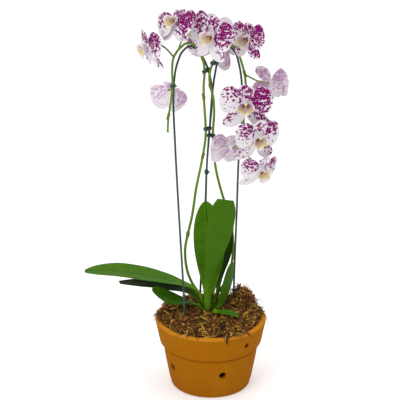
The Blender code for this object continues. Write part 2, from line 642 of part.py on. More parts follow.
def tepal_grids(number, bloom):
    """The five tepals of a bloom: the top sepal, two long lower sepals behind, two broad petals."""
    sweep = bloom["sweep"]
    low_bend = (-0.03 - sweep / 2, -0.1)
    petal_bend = (0.12 - sweep, -0.12)
    top, low = bloom.get("top", 1), bloom.get("low", 1)
    petal_angle = PETAL_ANGLE + bloom.get("droop", 0)
    grids = [tepal_grid(0, TOP_SEPAL, top, (3, 2), (bloom["hood"], -0.1), 0, number)]
    for side in (1, -1):
        angle = side * LOWER_SEPAL_ANGLE
        grids.append(tepal_grid(angle, LOWER_SEPAL, low, (4, 2), low_bend, side, number + side))
    for side in (1, -1):
        grids.append(tepal_grid(side * petal_angle, PETAL, 1, (5, 3), petal_bend, 0, 2 * number + side))
    return grids


def build_tepals(number, bloom):
    """Three sepals behind two broad petals, fused to the small hub that they grow from."""
    matrix = bloom_matrix(bloom)
    hub = placed(np.array([[0, 0, HUB_BACK], [0, 0, 0], [0, 0, HUB_FRONT]]), matrix)
    radii = HUB_RADIUS * np.array(HUB_SHARES)
    pieces = [tube(f"bloom_{number:02d}_tepals", hub, radii, HUB_SIDES, TEPAL)]
    for grid in tepal_grids(number, bloom):
        pieces.append(blade("tepal", placed(grid, matrix), TEPAL_THICKNESS, TEPAL))
    return fuse(pieces)


def strip_grid(rib, side, halves, curl, rows, columns):
    """A lobe of the lip: a rib in millimetres, carried sideways by its half widths, edges curled."""
    u = np.linspace(0, 1, rows)
    middle = smooth(rib, u)
    tangents = unit(np.gradient(middle, axis=0))
    side = unit(np.cross(np.cross(tangents, side), tangents))
    normal = np.cross(tangents, side)
    half = np.interp(u, np.linspace(0, 1, len(halves)), halves) * MM
    v = np.linspace(-1, 1, columns)
    across = half[:, None] * v
    lift = curl * half[:, None] * v**2
    return middle[:, None] + side[:, None] * across[..., None] + normal[:, None] * lift[..., None]


def build_lip(number, bloom):
    """The lip with the column: two raised side lobes form a cup, below them an arrow-shaped tip."""
    matrix = bloom_matrix(bloom, bloom.get("lip", 1))
    radii = np.array(COLUMN_RADII) * MM * bloom["size"]
    column = placed(np.array(COLUMN) * MM, matrix)
    pieces = [tube(f"bloom_{number:02d}_lip", column, radii, COLUMN_SIDES, LIP)]
    middle = strip_grid(LIP_TIP, (1, 0, 0), LIP_TIP_HALVES, -0.25, 4, 3)
    pieces.append(blade("lobe", placed(middle, matrix), LIP_THICKNESS, LIP))
    for side in (1, -1):
        rib = np.array(LIP_LOBE) * (side, 1, 1)
        lobe = strip_grid(rib, (0, -0.45, 0.9), LIP_LOBE_HALVES, 0.25 * side, 3, 3)
        pieces.append(blade("lobe", placed(lobe, matrix), LIP_THICKNESS, LIP))
    return fuse(pieces)


def hoop_path(points):
    """A hoop's path: few stations down its legs and close ones over its arch."""
    stations = [np.linspace(0, 0.4, 8), np.linspace(0.43, 0.57, 13), np.linspace(0.6, 1, 8)]
    return smooth(points, np.concatenate(stations))


def wire_sockets(points):
    """The two plain holes that a hoop's legs stand in, a gap wider and deeper than the wire."""
    path = hoop_path(points)
    made = []
    for leg in (path[:SOCKET_STATIONS], path[::-1][:SOCKET_STATIONS]):
        down = unit(leg[0] - leg[1])
        leg = np.concatenate([[leg[0] + down * GAP], leg[1:]])
        made.append(tube("socket", leg, HOOP_RADIUS + 1.5 * GAP, SOCKET_SIDES, COIR))
    return made


def main():
    for thing in list(bpy.data.objects):
        bpy.data.objects.remove(thing)
    bpy.context.scene.unit_settings.system = "METRIC"

    build_pot()
    build_crown()
    for name, leaf in LEAVES.items():
        build_leaf(name, **leaf)

    fine = np.linspace(0, 1, 600)
    paths = {
        "hoop_left": smooth(HOOP_LEFT, fine),
        "hoop_right": smooth(HOOP_RIGHT, fine),
        "spike_a": smooth(SPIKE_A, fine),
        "spike_b": smooth(SPIKE_B, fine),
    }
    radii = {name: HOOP_RADIUS if "hoop" in name else SPIKE_RADIUS for name in paths}
    sockets = [build_crown_socket()]
    for name, points in (("hoop_left", HOOP_LEFT), ("hoop_right", HOOP_RIGHT)):
        tube(name, hoop_path(points), HOOP_RADIUS, WIRE_SIDES, WIRE)
        sockets += wire_sockets(points)
    build_medium(sockets)
    build_spike("flower_spike_a", "a", SPIKE_A, SPIKE_A_JOINTS)
    build_spike("flower_spike_b", "b", SPIKE_B, SPIKE_B_JOINTS)
    for number, (first, second, near) in enumerate(CLIPS, 1):
        held = (radii[first], radii[second])
        build_clip(f"clip_{number}", paths[first], paths[second], held, near)
    for number, bloom in enumerate(BLOOMS, 1):
        build_tepals(number, bloom)
        build_lip(number, bloom)


main()
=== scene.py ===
"""The looks of a potted moth orchid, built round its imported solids.

+Z is up and the front faces -Y. The plant's sizes and places are in millimetres, and its tables of
places are the part's own; the camera and the studio are in metres. A fine piece follows the
formulas of the solid that it replaces, on a closer grid, apart from the lips, which are moulded
here as open bowls.
"""

import math

import bmesh
import bpy
import numpy as np
from mathutils import Matrix

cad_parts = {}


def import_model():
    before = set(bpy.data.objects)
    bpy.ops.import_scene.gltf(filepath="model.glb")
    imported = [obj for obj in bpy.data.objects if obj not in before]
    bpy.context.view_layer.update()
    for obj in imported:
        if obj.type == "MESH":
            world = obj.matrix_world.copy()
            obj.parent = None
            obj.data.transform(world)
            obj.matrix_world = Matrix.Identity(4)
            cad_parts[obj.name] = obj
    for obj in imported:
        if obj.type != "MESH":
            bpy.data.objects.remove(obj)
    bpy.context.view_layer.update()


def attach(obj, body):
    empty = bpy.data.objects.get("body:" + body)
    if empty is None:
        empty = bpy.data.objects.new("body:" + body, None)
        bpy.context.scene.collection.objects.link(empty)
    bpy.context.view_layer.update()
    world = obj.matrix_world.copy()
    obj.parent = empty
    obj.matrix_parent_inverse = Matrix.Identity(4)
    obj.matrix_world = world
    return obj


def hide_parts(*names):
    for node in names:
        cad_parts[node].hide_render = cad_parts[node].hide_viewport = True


MM = 0.001
# Millimetres in a centimetre, for the places that patterns read.
CM = 10
# Points closer than this, in millimetres, are one point.
WELD_REACH = 0.001

# The camera: its place in metres, how far it looks down in degrees, and its lens and sensor in
# millimetres.
CAMERA_PLACE = (-0.0164, -2.2, 1.153)
CAMERA_DIP = 21.15
CAMERA_LENS = 142.0
IMAGE_WIDTH = 36.0
# The floor's half width in metres, and how strongly it and the surround shine.
FLOOR_HALF = 6.0
FLOOR_GLOW = 0.28
SURROUND_STRENGTH = 0.7
LIGHT_AIM = (0, 0, 0.3)
# The lights: name, place in metres, size in metres and power in watts.
LIGHTS = [
    ("key", (-1.3, -1.8, 1.9), 1.4, 23),
    ("fill", (1.8, -1.4, 1.2), 1.6, 2.5),
    ("top", (0.1, 0.5, 2.2), 1.6, 10),
]

POT_HEIGHT = 112
POT_RIM_RADIUS = 85
POT_BODY_RADIUS = 72.5
POT_FOOT_RADIUS = 61.5
POT_BAND_HEIGHT = 41
POT_WALL = 7
POT_FLOOR = 9
POT_FLAT_RADIUS = 55.5
POT_FOOT_ROUND = 5.5
# The body's outline up to the seam: how far inside the body's radius, and how far below the seam.
# Its last points are the groove under the collar.
POT_BODY_LINE = [
    (8.6, 57), (6, 43), (1.5, 18), (0.4, 9), (0, 5), (0.9, 4.2), (1.2, 3.5), (0.9, 2.8), (0, 2),
]
POT_COLLAR_RADIUS = 74.8
POT_COLLAR_ROUND = 3.6
POT_COLLAR_RISE = 4
# The collar's outline between its rounded edges: radius and height.
POT_COLLAR_LINE = [(80, 82), (81.4, 90), (83.6, 100)]
POT_LIP_ROUND = 4.5
POT_LIP_FOOT = 92
# Arcs of the outline: from and to, in degrees from straight out, and steps.
EDGE_ARC = (-80, 0, 8)
LIP_ARC = (0, 180, 16)
POT_SEGMENTS = 160
POT_SHARP_ANGLE = 40
# The drills for the wall's holes reach from one distance from the axis to another, and those for
# the floor's holes go past it on both sides.
HOLE_SIDES = 28
HOLE_DRILL = (58, 90)
HOLE_PAST = 2
LOWER_HOLES = {"count": 5, "height": 42.5, "radius": 5.5, "first": -75}
UPPER_HOLES = {"count": 3, "height": 90, "radius": 4.3, "first": -48}
FLOOR_HOLES = {"count": 3, "distance": 32, "radius": 6, "first": 30}

MEDIUM_EDGE = 107
MEDIUM_CENTRE = 113
MEDIUM_FALL = 2.2
MEDIUM_RIDGE = 1.3
# The ridges' waves: radians in a millimetre along x and along y, and phase.
RIDGES = [(0.31, 0.13, 0), (-0.17, 0.33, 1), (0.41, -0.29, 2)]
BED_RINGS = 60
BED_SEGMENTS = 180
BED_EDGE = 104
BED_CLEARANCE = 1.5
# The rings that close the bed below: which ring of its top each repeats, its share of that
# ring's radius, and its height.
BED_UNDERSIDE = [(-1, 0.97, 96), (-1, 0.715, 9.5), (0, 1, 9.5)]
# Mounds of the medium: x, y, height and spread, in millimetres.
MOUNDS = [(50, 38, 25, 17), (-58, 22, 10, 13), (-38, -22, 8, 12), (8, -46, 4, 18), (36, -8, 5, 15)]

# Strands start within one distance from the axis and are held within another. They are rooted
# just below the medium's surface and lie just above it, or above the rim.
STRAND_STEPS = 6
STRAND_SIDES = 3
STRAND_TAPER = (0, 0.8, 1, 0.95, 0.85, 0.6, 0)
STRAND_START = 74
STRAND_REACH = 75
STRAND_ROOT = 0.8
STRAND_LIFT = 0.1
RIM_LIFT = 0.6
# A strand's slope in radians: at its start, how far it falls, the shares of that, and its stray.
SLOPE_START = (0.2, 1.35)
SLOPE_FALL = 1.5
SLOPE_SHARES = (0.6, 1.3)
SLOPE_STRAY = 0.3
MOSS_GREENS = (0.3, 0.8)
# The share of the strands that hang over the rim, where they do in degrees from +X, how far they
# spread from there, how far in radians they stray from straight outwards, how far from the axis
# they start, and how far below the rim they may drop.
HANGING_SHARE = 0.09
HANGING_ANGLES = (172, 186, 8, 20, -62, -118)
HANGING_SPREAD = 9
HANGING_STRAY = 0.6
HANGING_START = (66, 74)
HANGING_DROP = 12
# The share that is heaped on the highest mound, and how far it spreads there.
HEAPED_SHARE = 0.2
HEAPED_SPREAD = 13
# Each kind of strand: how many there are and their seed, the least and greatest length and half
# width in millimetres, the least and greatest thickness as a share of the width, how much the
# strands curl, the mean and spread of their tone, and the share of them that is mossy.
STRANDS = {
    "coir_strands": dict(count=4200, seed=5, reach=(10, 26), thickness=(0.25, 0.55), flatness=(0.4, 1.0),
                         curl=0.45, tones=(0.26, 0.2), mossy=0.04),
    "moss_strands": dict(count=2600, seed=8, reach=(9, 22), thickness=(1.1, 2.8), flatness=(0.15, 0.3),
                         curl=0.6, tones=(0.72, 0.3), mossy=0.22),
}

CROWN_RADIUS = 7
# Where the crown stands: x and y.
CROWN_PLACE = (-4, 8)
CROWN_RINGS = 24
CROWN_SIDES = 28
# The crown's outline: heights and shares of its radius.
CROWN_HEIGHTS = (100, 114, 134, 142, 146, 147)
CROWN_SHARES = (0.7, 1, 0.95, 0.75, 0.35, 0.1)
LEAF_THICKNESS = 1.9
LEAF_BASE_WIDTH = 10.5
# The share of a blade's thickness that is left at its edge.
EDGE_SHARE = 0.35
# Leaves end just short of their outline's tip, at this share of it.
LEAF_END = 0.992
LEAF_ROWS = 96
LEAF_COLUMNS = 25
# How far a leaf's base folds round the crown and along how much of its length, and the sizes of
# its wave and of its midrib's groove.
LEAF_CLASP = 0.42
LEAF_CLASP_REACH = 0.12
LEAF_WAVE = 0.35
LEAF_GROOVE = 0.5
LEAF_GROOVE_WIDTH = 1.3

HOOP_RADIUS = 1.6
HOOP_STATIONS = 300
SPIKE_RADIUS = 2.2
SPIKE_STATIONS = 420
STEM_SIDES = 14
PEDICEL_RADIUS = 1.3
PEDICEL_STATIONS = 26
PEDICEL_SIDES = 12
# The pedicels of blooms to the left of this place are dark, by this share.
PEDICEL_DARK_LEFT = -80
PEDICEL_DARK = 0.55
STEM_TAPER = 0.3
JOINT_SWELL = 0.6
JOINT_REACH = 2.5
# A sheath starts below its joint, stands off the stem, and flares towards its tip. Its wrap is in
# radians each way.
SHEATH_START = 1.5
SHEATH_LENGTH = 9.5
SHEATH_WRAP = 2.3
SHEATH_GAP = 0.5
SHEATH_FLARE = 0.9
SHEATH_HALF = 0.18
CLIP_WALL = 1.1
CLIP_HEIGHT = 4
# The gap between a clip and what it holds is 0.6 of the solid's, so that it looks tight.
CLIP_GAP = 0.42
CLIP_STATIONS = 600
CLIP_SIDES = 48
# A clip's section, from its wall's inner face over its rounded edges: the share of its half
# height, and the share of its wall.
CLIP_SECTION = [(-1, 0), (-1, 0.7), (-0.85, 1), (0.85, 1), (1, 0.7), (1, 0)]
TAB_HEIGHTS = (0, 1.2, 2.4, 2.9)
TAB_RADII = (1.0, 1.1, 0.9, 0.4)
TAB_SIDES = 10
HUB_BACK = -3.0
HUB_FRONT = 2.4
HUB_LEVELS = (HUB_BACK - 0.3, HUB_BACK + 0.6, 0, HUB_FRONT - 0.4, HUB_FRONT)
HUB_RADII = (2.2, 3.2, 4.4, 3.9, 3.0)
HUB_SIDES = 20

# Each wire hoop from one foot to the other, in millimetres.
HOOP_LEFT = [
    (-38, -29, 40), (-39.5, -24, 118), (-48, -3, 280), (-53.5, 11, 391), (-55.5, 17, 450),
    (-54.5, 18, 480), (-49, 19, 510), (-41, 20, 527), (-31, 21, 534), (-20, 21, 527), (-10, 22, 512),
    (-3.5, 23, 494), (0.5, 25, 474), (1, 28, 446), (-3, 32, 393), (-6.5, 37, 333), (-7.5, 40, 286),
    (-16, 48, 128), (-17, 50, 52),
]
HOOP_RIGHT = [
    (-17.5, 56, 52), (-16, 54, 128), (-8, 46, 286), (-6.5, 43, 333), (-2.5, 38, 393), (2, 32, 460),
    (6, 27.5, 492), (10, 26, 511), (17, 25, 526), (26, 24.5, 532), (34, 25, 525), (40, 25, 508),
    (43.5, 26, 490), (46, 27, 457), (46, 28, 417), (42.5, 29, 373), (39.5, 31, 273), (36, 31, 140),
    (35, 31, 40),
]
# Each flower spike from the crown to its free end, in millimetres.
SPIKE_A = [
    (-13.5, 18, 134), (-19, 27, 139), (-27, 34, 148), (-34, 36.5, 163), (-38.5, 35, 186), (-39, 32, 212),
    (-35.5, 30, 232), (-29, 30, 262), (-22, 31, 310), (-13, 30.5, 357), (-8, 28.5, 393), (-9, 22.5, 427),
    (-10.5, 18, 451), (-11, 16.5, 475), (-10, 16, 493), (-11, 16, 509), (-16, 16, 524), (-24, 16.5, 536),
    (-34, 16, 540), (-45, 14.5, 533), (-55, 13.5, 518), (-57, 12.5, 500), (-56.5, 11.5, 475),
    (-59.5, 8, 450), (-63, 5, 428), (-64, 3, 408),
]
SPIKE_B = [
    (6, 20.5, 134), (11, 27, 138), (19, 36, 145), (28, 47, 158), (33.5, 53, 180), (34.5, 57, 215),
    (30, 58, 250), (20, 55, 282), (8.5, 46.5, 330), (3.5, 39, 372), (3, 31.5, 400), (4.5, 25, 432),
    (3, 21.5, 456), (-2, 18, 478), (-2.5, 17, 492), (1.5, 18, 507), (9, 19, 524), (19, 19, 535),
    (29, 18.5, 536), (38, 18, 526), (44, 16, 511), (49, 12, 492), (50.5, 9, 470), (50, 8, 445),
    (47.5, 6, 422), (45, 2, 402), (45, -4, 386), (47, -11, 374),
]
# Where each spike has a joint with its sheath: millimetres along it from the crown.
SPIKE_A_JOINTS = [112, 242, 340, 400, 505, 550, 585]
SPIKE_B_JOINTS = [118, 262, 366, 445, 490, 535, 570, 600]

# Each leaf: its midrib and full width in millimetres, the way its upper face looks at the base
# and at the tip, how deep its channel is, how much of the pointed tip is missing, and its shade,
# from -1, darkest, over 0, deep and fresh, to 1, pale. A shade below 0 is painted shade, which
# darkens the leaves that lie in shadow. A leaf with a neck stays narrow for longer.
LEAVES = {
    "leaf_long_left": dict(
        rib=[(-14, 8, 131), (-18.5, 10, 142), (-28, 14, 150), (-48, 18, 157), (-80, 21, 165),
             (-112, 23, 171), (-145, 25, 175), (-172, 26, 175), (-194, 26, 174)],
        width=56, up=[(1, 0, 0.3), (0.1, 0, 1)], channel=0.16, missing=0.0, shade=0.75),
    "leaf_under_left": dict(
        rib=[(-13, 15, 119), (-20, 18, 130), (-30, 22, 139), (-50, 27, 146), (-82, 25, 154),
             (-112, 21, 157), (-140, 15, 160)],
        width=33, up=[(1, -0.3, 0.3), (0.1, 0.15, 1)], channel=0.10, missing=0.05, shade=-0.4),
    "leaf_front_left": dict(
        rib=[(-14, 3.4, 119), (-20, 1, 127), (-30, -0.5, 132), (-45, -2, 136), (-65, -7, 145),
             (-89, -15, 162)],
        width=34, up=[(1, 0.5, 0.3), (0.1, -0.45, 1)], channel=0.20, missing=0.0, shade=0.3),
    "leaf_upright_left": dict(
        rib=[(-3.4, 18, 128), (-2.5, 19.5, 145), (-1.5, 22, 172), (-1.5, 25, 200), (-3.5, 28, 232),
             (-6, 31, 262), (-8, 34, 286)],
        width=47, up=[(0, -1, 0), (0.15, -1, 0.2)], channel=0.30, missing=0.0, shade=0.95),
    "leaf_front": dict(
        rib=[(-4.2, -1.5, 122), (-5, -3, 140), (-4, -5, 165), (1, -8, 196), (7, -10.5, 226),
             (12.5, -10.5, 255), (16.5, -9.5, 277), (19.5, -8.5, 292), (22, -7.5, 305)],
        width=41, up=[(0.05, 1, 0), (-0.15, 1, 0.15)], channel=0.14, missing=0.04, shade=0.2, neck=1.9),
    "leaf_back_right": dict(
        rib=[(7.6, 6.6, 129), (11, 9, 141), (14.5, 16, 158), (18.5, 24, 180), (22, 29, 205),
             (24.5, 33, 228), (26.5, 36, 247)],
        width=34, up=[(-1, 0.1, 0.2), (-0.5, -1, 0.15)], channel=0.30, missing=0.0, shade=-0.6),
    "leaf_right": dict(
        rib=[(5.2, 13.2, 118), (11, 15, 124), (20, 16, 136), (27, 16.5, 154), (31, 17, 172),
             (34, 18, 192)],
        width=24, up=[(-1, -0.4, 0.4), (-0.9, 0.55, 0.45)], channel=0.25, missing=0.0, shade=-0.5),
    "leaf_low_right": dict(
        rib=[(6.8, 1.6, 118), (12, -3, 124), (18, -6, 136), (23, -9, 152), (27, -11, 170),
             (29.5, -12, 190), (30.5, -12.5, 204)],
        width=25, up=[(-1, 0.9, 0.4), (-0.9, 0.7, 0.3)], channel=0.3, missing=0.0, shade=-0.3),
    "leaf_stub": dict(
        rib=[(3.4, -11.1, 121), (15, -17.5, 125), (28, -21, 125), (42, -23, 121)],
        width=15, up=[(0, 0, 1), (0.1, -0.1, 1)], channel=0.35, missing=0.12, shade=0.9),
}

# Each bloom: centre in millimetres, the way it faces (yaw and pitch from the front, roll about
# its own axis, in degrees), size, how far its top sepal leans over the lip (as a slope), how far
# its petals sweep back, its spike and start on it, and how much of each tepal its blotches cover:
# top sepal, lower right and left sepals, right and left petals, as a viewer of its face sees them.
# Some also have a larger lip, a shorter top sepal or lower sepals, petals that droop by degrees,
# or a lip whose inside is warmer: 0 is mauve and 1 is cream.
BLOOMS = [
    dict(centre=(-90, -18, 546), yaw=-62, pitch=-2, roll=6, size=0.82, hood=0.35, sweep=0.18, spike="a",
         start=(-54, 14, 519), lip=1.12, top=0.8, low=0.9, warm=0.6,
         paint=(0.75, 0.4, 0.25, 0.75, 0.35)),
    dict(centre=(-50, -30, 587), yaw=-42, pitch=28, roll=8, size=0.84, hood=-0.4, sweep=0.06, spike="a",
         start=(-48, 14.5, 530), lip=1.1, top=0.7, low=0.8, droop=32, warm=0.5,
         paint=(0.75, 0.55, 0.45, 0.9, 0.5)),
    dict(centre=(-24, 30, 560), yaw=-40, pitch=0, roll=17, size=0.85, hood=0.2, sweep=0.04, spike="a",
         start=(-14, 16, 519), warm=0.5,
         paint=(0.95, 0.5, 0.5, 0.8, 0.6)),
    dict(centre=(1.5, -40, 567), yaw=-38, pitch=14, roll=-6, size=0.92, hood=0.3, sweep=0.0, spike="b",
         start=(9, 19, 524), low=0.83, warm=0.35,
         paint=(0.65, 0.35, 0.12, 0.85, 0.55)),
    dict(centre=(13.6, 56, 539.5), yaw=160, pitch=-8, roll=20, size=0.96, hood=0.1, sweep=0.05, spike="b",
         start=(22, 19, 536),
         paint=(0.05, 0.5, 0.5, 0.1, 0.1)),
    dict(centre=(53, -24, 559.5), yaw=-42, pitch=14, roll=2, size=0.78, hood=0.3, sweep=-0.05, spike="b",
         start=(36, 18, 529), lip=1.2, top=0.85, low=0.85, warm=0.3,
         paint=(0.75, 0.7, 0.4, 0.85, 0.55)),
    dict(centre=(50, -34, 467.5), yaw=-4, pitch=-8, roll=0, size=0.96, hood=0.35, sweep=0.0, spike="b",
         start=(50, 10, 478), lip=1.06, low=1.08, warm=0.1,
         paint=(0.7, 0.5, 0.3, 0.92, 0.44)),
    dict(centre=(86, 16, 480), yaw=140, pitch=-4, roll=-34, size=0.9, hood=-0.35, sweep=0.1, spike="b",
         start=(49, 12, 494), low=0.6, droop=30,
         paint=(0.6, 0.5, 0.5, 0.6, 0.6)),
    dict(centre=(-60, 44, 461), yaw=152, pitch=-8, roll=5, size=0.84, hood=-0.8, sweep=0.25, spike="a",
         start=(-57, 12, 470), top=0.5, low=0.6, droop=52,
         paint=(0.4, 0.4, 0.4, 0.4, 0.4)),
    dict(centre=(67, -42, 417.5), yaw=22, pitch=-6, roll=-2, size=0.88, hood=0.35, sweep=0.12, spike="b",
         start=(47.5, 6, 422), lip=1.08, warm=0.3,
         paint=(0.5, 0.4, 0.4, 0.55, 0.48)),
    dict(centre=(73, -38, 366), yaw=26, pitch=-12, roll=-4, size=0.75, hood=0.35, sweep=0.35, spike="b",
         start=(46, -8, 380), lip=1.15, droop=12, warm=0.7,
         paint=(0.4, 0.15, 0.1, 0.5, 0.55)),
    dict(centre=(30.5, 2, 384), yaw=-150, pitch=0, roll=0, size=0.96, hood=0.3, sweep=0.1, spike="b",
         start=(45, 2, 402), top=0.6, low=0.42,
         paint=(0.4, 0.4, 0.4, 0.5, 0.5)),
]
# The tepals' sizes, lifts and waves in millimetres, and the curve across each.
TOP_SEPAL = dict(length=31, width=25, lift=0.0, cup=0.1, claw=0.75, wave=0.6)
LOWER_SEPAL = dict(length=53, width=25, lift=-0.6, cup=0.12, claw=0.75, wave=0.6)
PETAL = dict(length=40, width=46, lift=1.2, cup=0.06, claw=0.85, wave=1.6)
LOWER_SEPAL_ANGLE = 144
PETAL_ANGLE = 82
TEPAL_CLAW = 2.6
TEPAL_ROWS = 40
TEPAL_COLUMNS = 29
# Half a tepal's thickness at its middle, and the groove along it.
TEPAL_HALF = 0.42
TEPAL_GROOVE = 0.35
TEPAL_GROOVE_WIDTH = 1.2

# The lip's bowl: its reach at the sides, the height of its middle, its depth there and how much
# deeper its rim lies, in millimetres; half its turn and the spread of its tip, in radians.
LIP_REACH = 10.4
LIP_DROP = -4.6
LIP_FLOOR = 4.2
LIP_DEPTH = 9.6
LIP_TURN = 3.0
TIP_SPREAD = 0.34
LIP_HALF = 0.33
LIP_RINGS = 22
LIP_COLUMNS = 73
# The column, its cap, the callus and one of two cirri: lines in bloom space, and radii. The other
# cirrus is the mirror image of the first.
COLUMN_LINE = [(0, 0, 2.4), (0, 0.4, 5), (0, 1.0, 8.6), (0, 0.6, 11.4), (0, -0.6, 12.8)]
COLUMN_SWELL = ((0, 0.4, 0.75, 0.92, 1), (2.5, 2.2, 2.8, 2.5, 1.2))
COLUMN_STATIONS = 16
CAP_LINE = [(0, 0.9, 11.2), (0, 0.7, 12), (0, 0.2, 13), (0, -0.4, 13.8), (0, -0.8, 14.1)]
CAP_RADII = (1.9, 2.2, 2.1, 1.4, 0.5)
CALLUS_LINE = [(0, -4.6, 5.5), (0, -5.2, 7), (0, -6.2, 8.4), (0, -7.4, 9.2), (0, -8.2, 9.3)]
CALLUS_RADII = (1.3, 1.7, 1.6, 1.1, 0.4)
CIRRUS_LINE = [(0.5, -19.0, 10.6), (1.6, -20.2, 11.4), (2.6, -19.8, 12.6), (2.4, -18.6, 13.2)]
CIRRUS_RADII = (0.42, 0.16)
CIRRUS_STATIONS = 10

# Each clip: the two wires or stems that it holds, and a place on or near both, in millimetres.
CLIPS = [
    ("hoop_left", "spike_a", (-55.8, 15, 476)),
    ("hoop_left", "spike_a", (-8, 20, 497)),
    ("hoop_left", "spike_a", (-5.5, 30, 404)),
    ("hoop_left", "spike_b", (0, 32, 393)),
    ("hoop_left", "hoop_right", (-6.3, 39, 332)),
    ("hoop_right", "spike_b", (7.5, 24, 507)),
]


def linear(code):
    """A hex sRGB colour as linear red, green and blue."""
    srgb = [int(code[i : i + 2], 16) / 255 for i in (0, 2, 4)]
    return np.array([c / 12.92 if c <= 0.04045 else ((c + 0.055) / 1.055) ** 2.4 for c in srgb])


def rgba(code):
    """A hex sRGB colour as a socket takes it: linear, and opaque."""
    return (*linear(code), 1.0)


def ease(low, high, value):
    """A smooth step: 0 below low, 1 above high, and a cubic between them."""
    t = np.clip((np.asarray(value, float) - low) / (high - low), 0, 1)
    return t * t * (3 - 2 * t)


def unit(vectors):
    """Vectors divided by their own lengths."""
    vectors = np.asarray(vectors, float)
    return vectors / np.maximum(np.linalg.norm(vectors, axis=-1, keepdims=True), 1e-12)


def smooth(points, stations):
    """A cubic curve through points, at stations from 0 to 1 along it.

    The chord lengths are its parameter, and its slope at each point is that of the
    parabola through the point and its two neighbours.
    """
    points = np.array(points, float)
    chord = np.concatenate([[0], np.cumsum(np.linalg.norm(np.diff(points, axis=0), axis=1))])
    slope = np.gradient(points, chord, axis=0)
    place = np.asarray(stations) * chord[-1]
    i = np.clip(np.searchsorted(chord, place, side="right") - 1, 0, len(points) - 2)
    step = (chord[i + 1] - chord[i])[:, None]
    t = (place - chord[i])[:, None] / step
    return (
        (2 * t**3 - 3 * t**2 + 1) * points[i]
        + (t**3 - 2 * t**2 + t) * step * slope[i]
        + (3 * t**2 - 2 * t**3) * points[i + 1]
        + (t**3 - t**2) * step * slope[i + 1]
    )


def length_of(points):
    """The length of the line through points: the sum of its straight pieces."""
    return np.linalg.norm(np.diff(np.array(points, float), axis=0), axis=1).sum()


def drawn_in(count, share):
    """Stations from 0 to 1 that lie closer towards 1: a sine over a share of its quarter turn."""
    quarter = math.pi / 2 * share
    return np.sin(np.linspace(0, 1, count) * quarter) / math.sin(quarter)


def spread_out(count):
    """Stations from -1 to 1 that lie closer towards both ends: a sine over its half turn."""
    return np.sin(np.linspace(-1, 1, count) * math.pi / 2)


def frames(path):
    """Tangents, and two unit vectors across each, carried along the path without twist."""
    tangents = unit(np.gradient(path, axis=0))
    side = unit(np.cross(tangents[0], (0.31, 0.95, 0.11)))
    sides = []
    for tangent in tangents:
        side = unit(side - tangent * np.dot(side, tangent))
        sides.append(side)
    sides = np.array(sides)
    return tangents, sides, np.cross(tangents, sides)


class Shape:
    """Points in millimetres, faces, and two values for each point that materials read.

    `flat` is a place on the surface as if it were unrolled, in centimetres, with a seed as
    its third value. `paint` is three shares or a colour.
    """

    def __init__(self):
        self.points, self.faces, self.flat, self.paint = [], [], [], []
        self.count = 0

    def add(self, points, faces, flat=(0, 0, 0), paint=(0, 0, 0)):
        """Adds points and their faces; flat and paint are one value for all, or one for each."""
        points = np.asarray(points, float).reshape(-1, 3)
        self.points.append(points)
        self.faces.append(np.asarray(faces) + self.count)
        self.flat.append(np.broadcast_to(np.asarray(flat, float).reshape(-1, 3), points.shape))
        self.paint.append(np.broadcast_to(np.asarray(paint, float).reshape(-1, 3), points.shape))
        self.count += len(points)


def cells(rows, columns, closed=False):
    """The four corners of each cell of a grid; a closed grid's last column meets its first."""
    i, j = np.meshgrid(np.arange(rows - 1), np.arange(columns - (not closed)), indexing="ij")
    low, high, k = i * columns, (i + 1) * columns, (j + 1) % columns
    return np.stack([low + j, low + k, high + k, high + j], -1).reshape(-1, 4)


def add_shell(shape, middle, half, flat, paint, back=None):
    """A closed thin blade: its middle surface moved out and back by half, joined round its edge.

    Its front is the side that the columns crossed with the rows point to. The third share of
    `paint` is 1 on the back, unless `back` gives the colours there; `flat` then ends in 0.
    """
    rows, columns = middle.shape[:2]
    normal = unit(np.cross(np.gradient(middle, axis=1), np.gradient(middle, axis=0)))
    offset = normal * np.broadcast_to(half, (rows, columns))[..., None]
    points = np.concatenate([(middle + offset).reshape(-1, 3), (middle - offset).reshape(-1, 3)])
    front = cells(rows, columns)
    size = rows * columns
    border = [(i, 0) for i in range(rows)]
    border += [(rows - 1, j) for j in range(1, columns)]
    border += [(i, columns - 1) for i in range(rows - 2, -1, -1)]
    border += [(0, j) for j in range(columns - 2, 0, -1)]
    edge = np.array([i * columns + j for i, j in border])
    after = np.roll(edge, -1)
    rim = np.stack([edge, after, after + size, edge + size], -1)
    faces = np.concatenate([front, front[:, ::-1] + size, rim])
    flat = np.tile(flat.reshape(-1, 3), (2, 1))
    if back is None:
        paint = np.tile(paint.reshape(-1, 3), (2, 1))
        paint[size:, 2] = 1
    else:
        paint = np.concatenate([paint.reshape(-1, 3), back.reshape(-1, 3)])
        flat[size:, 2] = 0
    shape.add(points, faces, flat, paint)


def add_tube(shape, path, radii, sides, seed=0.0, paint=(0, 0, 0)):
    """A closed tube: a ring round each point of the path, and its two ends drawn in to a point."""
    path = np.asarray(path, float)
    radii = np.broadcast_to(radii, len(path)).astype(float)
    _, across, up = frames(path)
    turn = 2 * math.pi * np.arange(sides) / sides
    around = np.cos(turn)[None, :, None] * across[:, None] + np.sin(turn)[None, :, None] * up[:, None]
    rings = path[:, None] + radii[:, None, None] * around
    ends = np.stack([np.repeat(path[:1], sides, 0), np.repeat(path[-1:], sides, 0)])
    rings = np.concatenate([ends[:1], rings, ends[1:]])
    along = np.concatenate([[0], np.cumsum(np.linalg.norm(np.diff(path, axis=0), axis=1))]) / CM
    along = np.concatenate([along[:1], along, along[-1:]])
    flat = np.stack(np.broadcast_arrays(turn[None], along[:, None], seed), -1)
    shape.add(rings, cells(len(rings), sides, closed=True), flat, paint)


